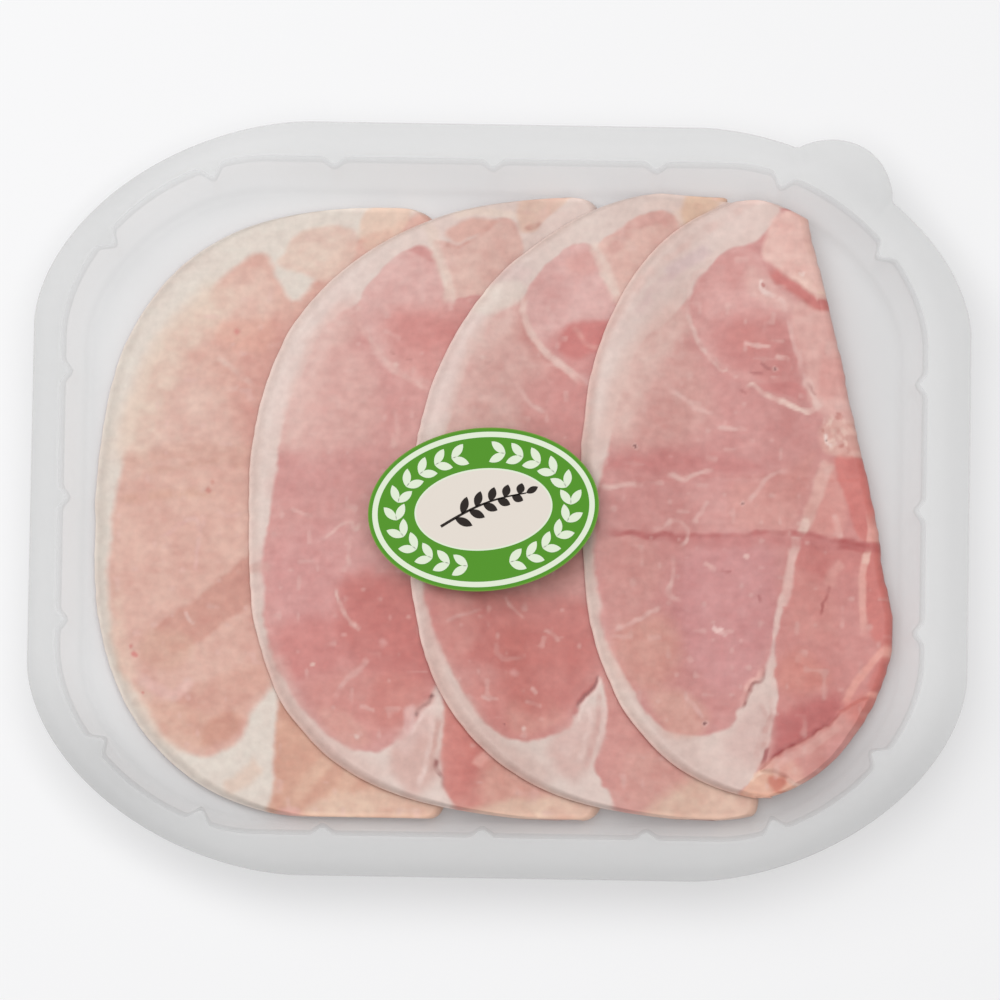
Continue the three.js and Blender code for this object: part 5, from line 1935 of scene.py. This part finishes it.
def upper_columns(number, y, left, turn):
    """The columns of the upper layer, and where the part that shows ends."""
    shown = turn - FOLD_MARGIN
    if number < LAST:
        shown = np.minimum(shown, left_edge(SLICES[number + 1], y) + OVERLAP)
        shown = np.maximum(shown, left + END_WIDTH / 2.0)
    fine = spread(left + TIP_END, shown, SHOWN_COLUMNS[number])
    coarse = spread(shown, turn, HIDDEN_COLUMNS + 1)[:, 1:]
    return np.hstack([left + TIP, fine, coarse]), shown


def upper_layer(number, y, left, columns):
    """Its edge hangs over the lower layer's edge, down to what lies below."""
    hang = DROOP * (1.0 - smoothstep(columns - left, 0.0, DROOP_REACH)) ** 2
    return surface(number, columns, y) - SLICE / 2.0 - hang


def fold_round(turn, radius, over, under):
    """Half a circle from the height of the upper layer to that of the lower one."""
    angle = np.linspace(0.0, np.pi, FOLD_STEPS + 1)[None, 1:-1]
    heights = (over + under) / 2.0 + (over - under) / 2.0 * np.cos(angle)
    return turn + radius * np.sin(angle), heights


print("the shown part of the last slice has", SHOWN_COLUMNS[LAST] + len(TIP), "columns")

# %% [markdown]
# The section so far is only the sheet's middle line. Its two faces stand half a thickness to
# either side, square to the line, and meet in a round end. A thin cut edge of ham lets
# light through and looks paler, so the colour is lifted there. A shader for light under
# the skin would do that too, but it is slow and changes the whole face.

# %% Faces of the sheet
TIP_REACH = 1.2
THINNEST = 0.0012
EDGE_GLOW = 0.32
GLOW_WIDTH = 1.7
BRIGHTEST = 0.95
RELIEF_END = (-0.5, 2.0)
INNER_STEP = 6


def round_end(distance):
    """The share of the full thickness at a distance from a cut edge."""
    share = np.clip(distance / TIP_REACH, 0.0, 1.0)
    return np.sqrt(np.clip(1.0 - (1.0 - share) ** 2, THINNEST, 1.0))


def upper_face(number, columns, y, left, shown):
    """The painted colour and relief, with paler edges and no relief under the next slice."""
    colour, height = paint(number, columns, y)
    end = np.minimum(y - y[0], y[-1] - y)
    glow = EDGE_GLOW * (1.0 - smoothstep(np.minimum(columns - left, end), 0.0, GLOW_WIDTH))
    colour = np.minimum(colour * (1.0 + glow[..., None]), BRIGHTEST)
    height *= round_end(columns - left) * round_end(end)
    if number < LAST:
        height *= 1.0 - smoothstep(columns, shown + RELIEF_END[0], shown + RELIEF_END[1])
    return colour, height


def zip_faces(outer, inner):
    """Triangles that close a ring whose outer points run out and inner points run back."""
    total = outer + inner
    i, j = 0, 0
    faces = []
    while i < outer - 1 or j < inner - 1:
        here, across = i, total - 1 - j
        if j == inner - 1 or (i < outer - 1 and (i + 1) / (outer - 1) <= (j + 1) / (inner - 1)):
            faces.append((here, i + 1, across))
            i += 1
        else:
            faces.append((here, total - 2 - j, across))
            j += 1
    return faces


def closed_rows(line_x, y, line_z, half, height):
    """Rings round the sheet: out along its outer face and home along its inner one."""
    along = np.stack([np.gradient(line_x, axis=1), np.gradient(line_z, axis=1)], axis=-1)
    along /= np.linalg.norm(along, axis=-1, keepdims=True)
    side_x, side_z = along[..., 1] * half, along[..., 0] * half
    rows = y + 0 * line_x
    outer = np.stack([line_x - side_x, rows, line_z + side_z], -1)
    outer[:, : height.shape[1], 2] += height
    inner = np.stack([line_x + side_x, rows, line_z - side_z], -1)
    # the inner faces are hidden, so only some of their columns are kept
    keep = sorted(set(range(0, inner.shape[1], INNER_STEP)) | {0, inner.shape[1] - 1})
    inner = inner[:, keep][:, ::-1]
    return keep_inside(np.concatenate([outer, inner], axis=1)), outer.shape[1]


print("a triangle strip over 3 and 2 points has", len(zip_faces(3, 2)), "faces")

# %% Build the slices
HIDDEN_MIX = 0.5


def build_slice(number):
    y = slice_rows(number)
    left, right = slice_edges(number, y)
    radius = (SLICE + layer_gap(SLICES[number], right, y)) / 2.0
    turn = np.maximum(right - radius - SLICE / 2.0, left + END_WIDTH)
    top_x, shown = upper_columns(number, y, left, turn)
    top_z = upper_layer(number, y, left, top_x)
    under = support(number, turn, y) + SLICE / 2.0
    fold_x, fold_z = fold_round(turn, radius, top_z[:, -1:], under)
    start = np.minimum(left + UNDER_INSET, turn - UNDER_MARGIN)
    low_x = np.hstack([spread(turn, start + TIP_END, UNDER_COLUMNS), start + TIP[::-1]])
    low_z = support(number, low_x, y) + SLICE / 2.0
    line_x = np.hstack([top_x, fold_x, low_x])
    line_z = np.hstack([top_z, fold_z, low_z])
    # the sheet's half thickness, rounded at its two edges and at both ends of the slice
    count = top_x.shape[1]
    half = np.full(line_x.shape, SLICE / 2.0)
    half[:, :count] *= round_end(top_x - left)
    half[:, -low_x.shape[1] :] *= round_end(low_x - start)
    half *= round_end(np.minimum(y - y[0], y[-1] - y))
    colour, height = upper_face(number, top_x, y, left, shown)
    rings, n_outer = closed_rows(line_x, y, line_z, half, height)
    size = rings.shape[1]
    faces = ring_faces(ROWS, size)
    cap = zip_faces(n_outer, size - n_outer)
    last = (ROWS - 1) * size
    faces += [face[::-1] for face in cap] + [tuple(last + k for k in face) for face in cap]
    # what is hidden has one plain tone, and the fold goes on in the colour beside it
    shade = np.empty((ROWS, size, 3))
    shade[:, :count] = colour
    hidden = linear(BASES[number]) * HIDDEN_MIX + linear(MUSCLE) * (1.0 - HIDDEN_MIX)
    shade[:, count:] = hidden
    shade[:, count : count + FOLD_STEPS - 1] = colour[:, -1:]
    piece = add_piece(
        f"ham_slice_{number + 1}", rings.reshape(-1, 3), faces, [ham_finish[number]],
        [f"slice_{number + 1}"],
    )
    paint_points(piece, HAM_COLOUR, shade.reshape(-1, 3))
    triangles = sum(len(face) - 2 for face in faces)
    print(piece.name, triangles, "triangles, top", round(float(rings[..., 2].max()), 2))


for number in range(len(SLICES)):
    build_slice(number)
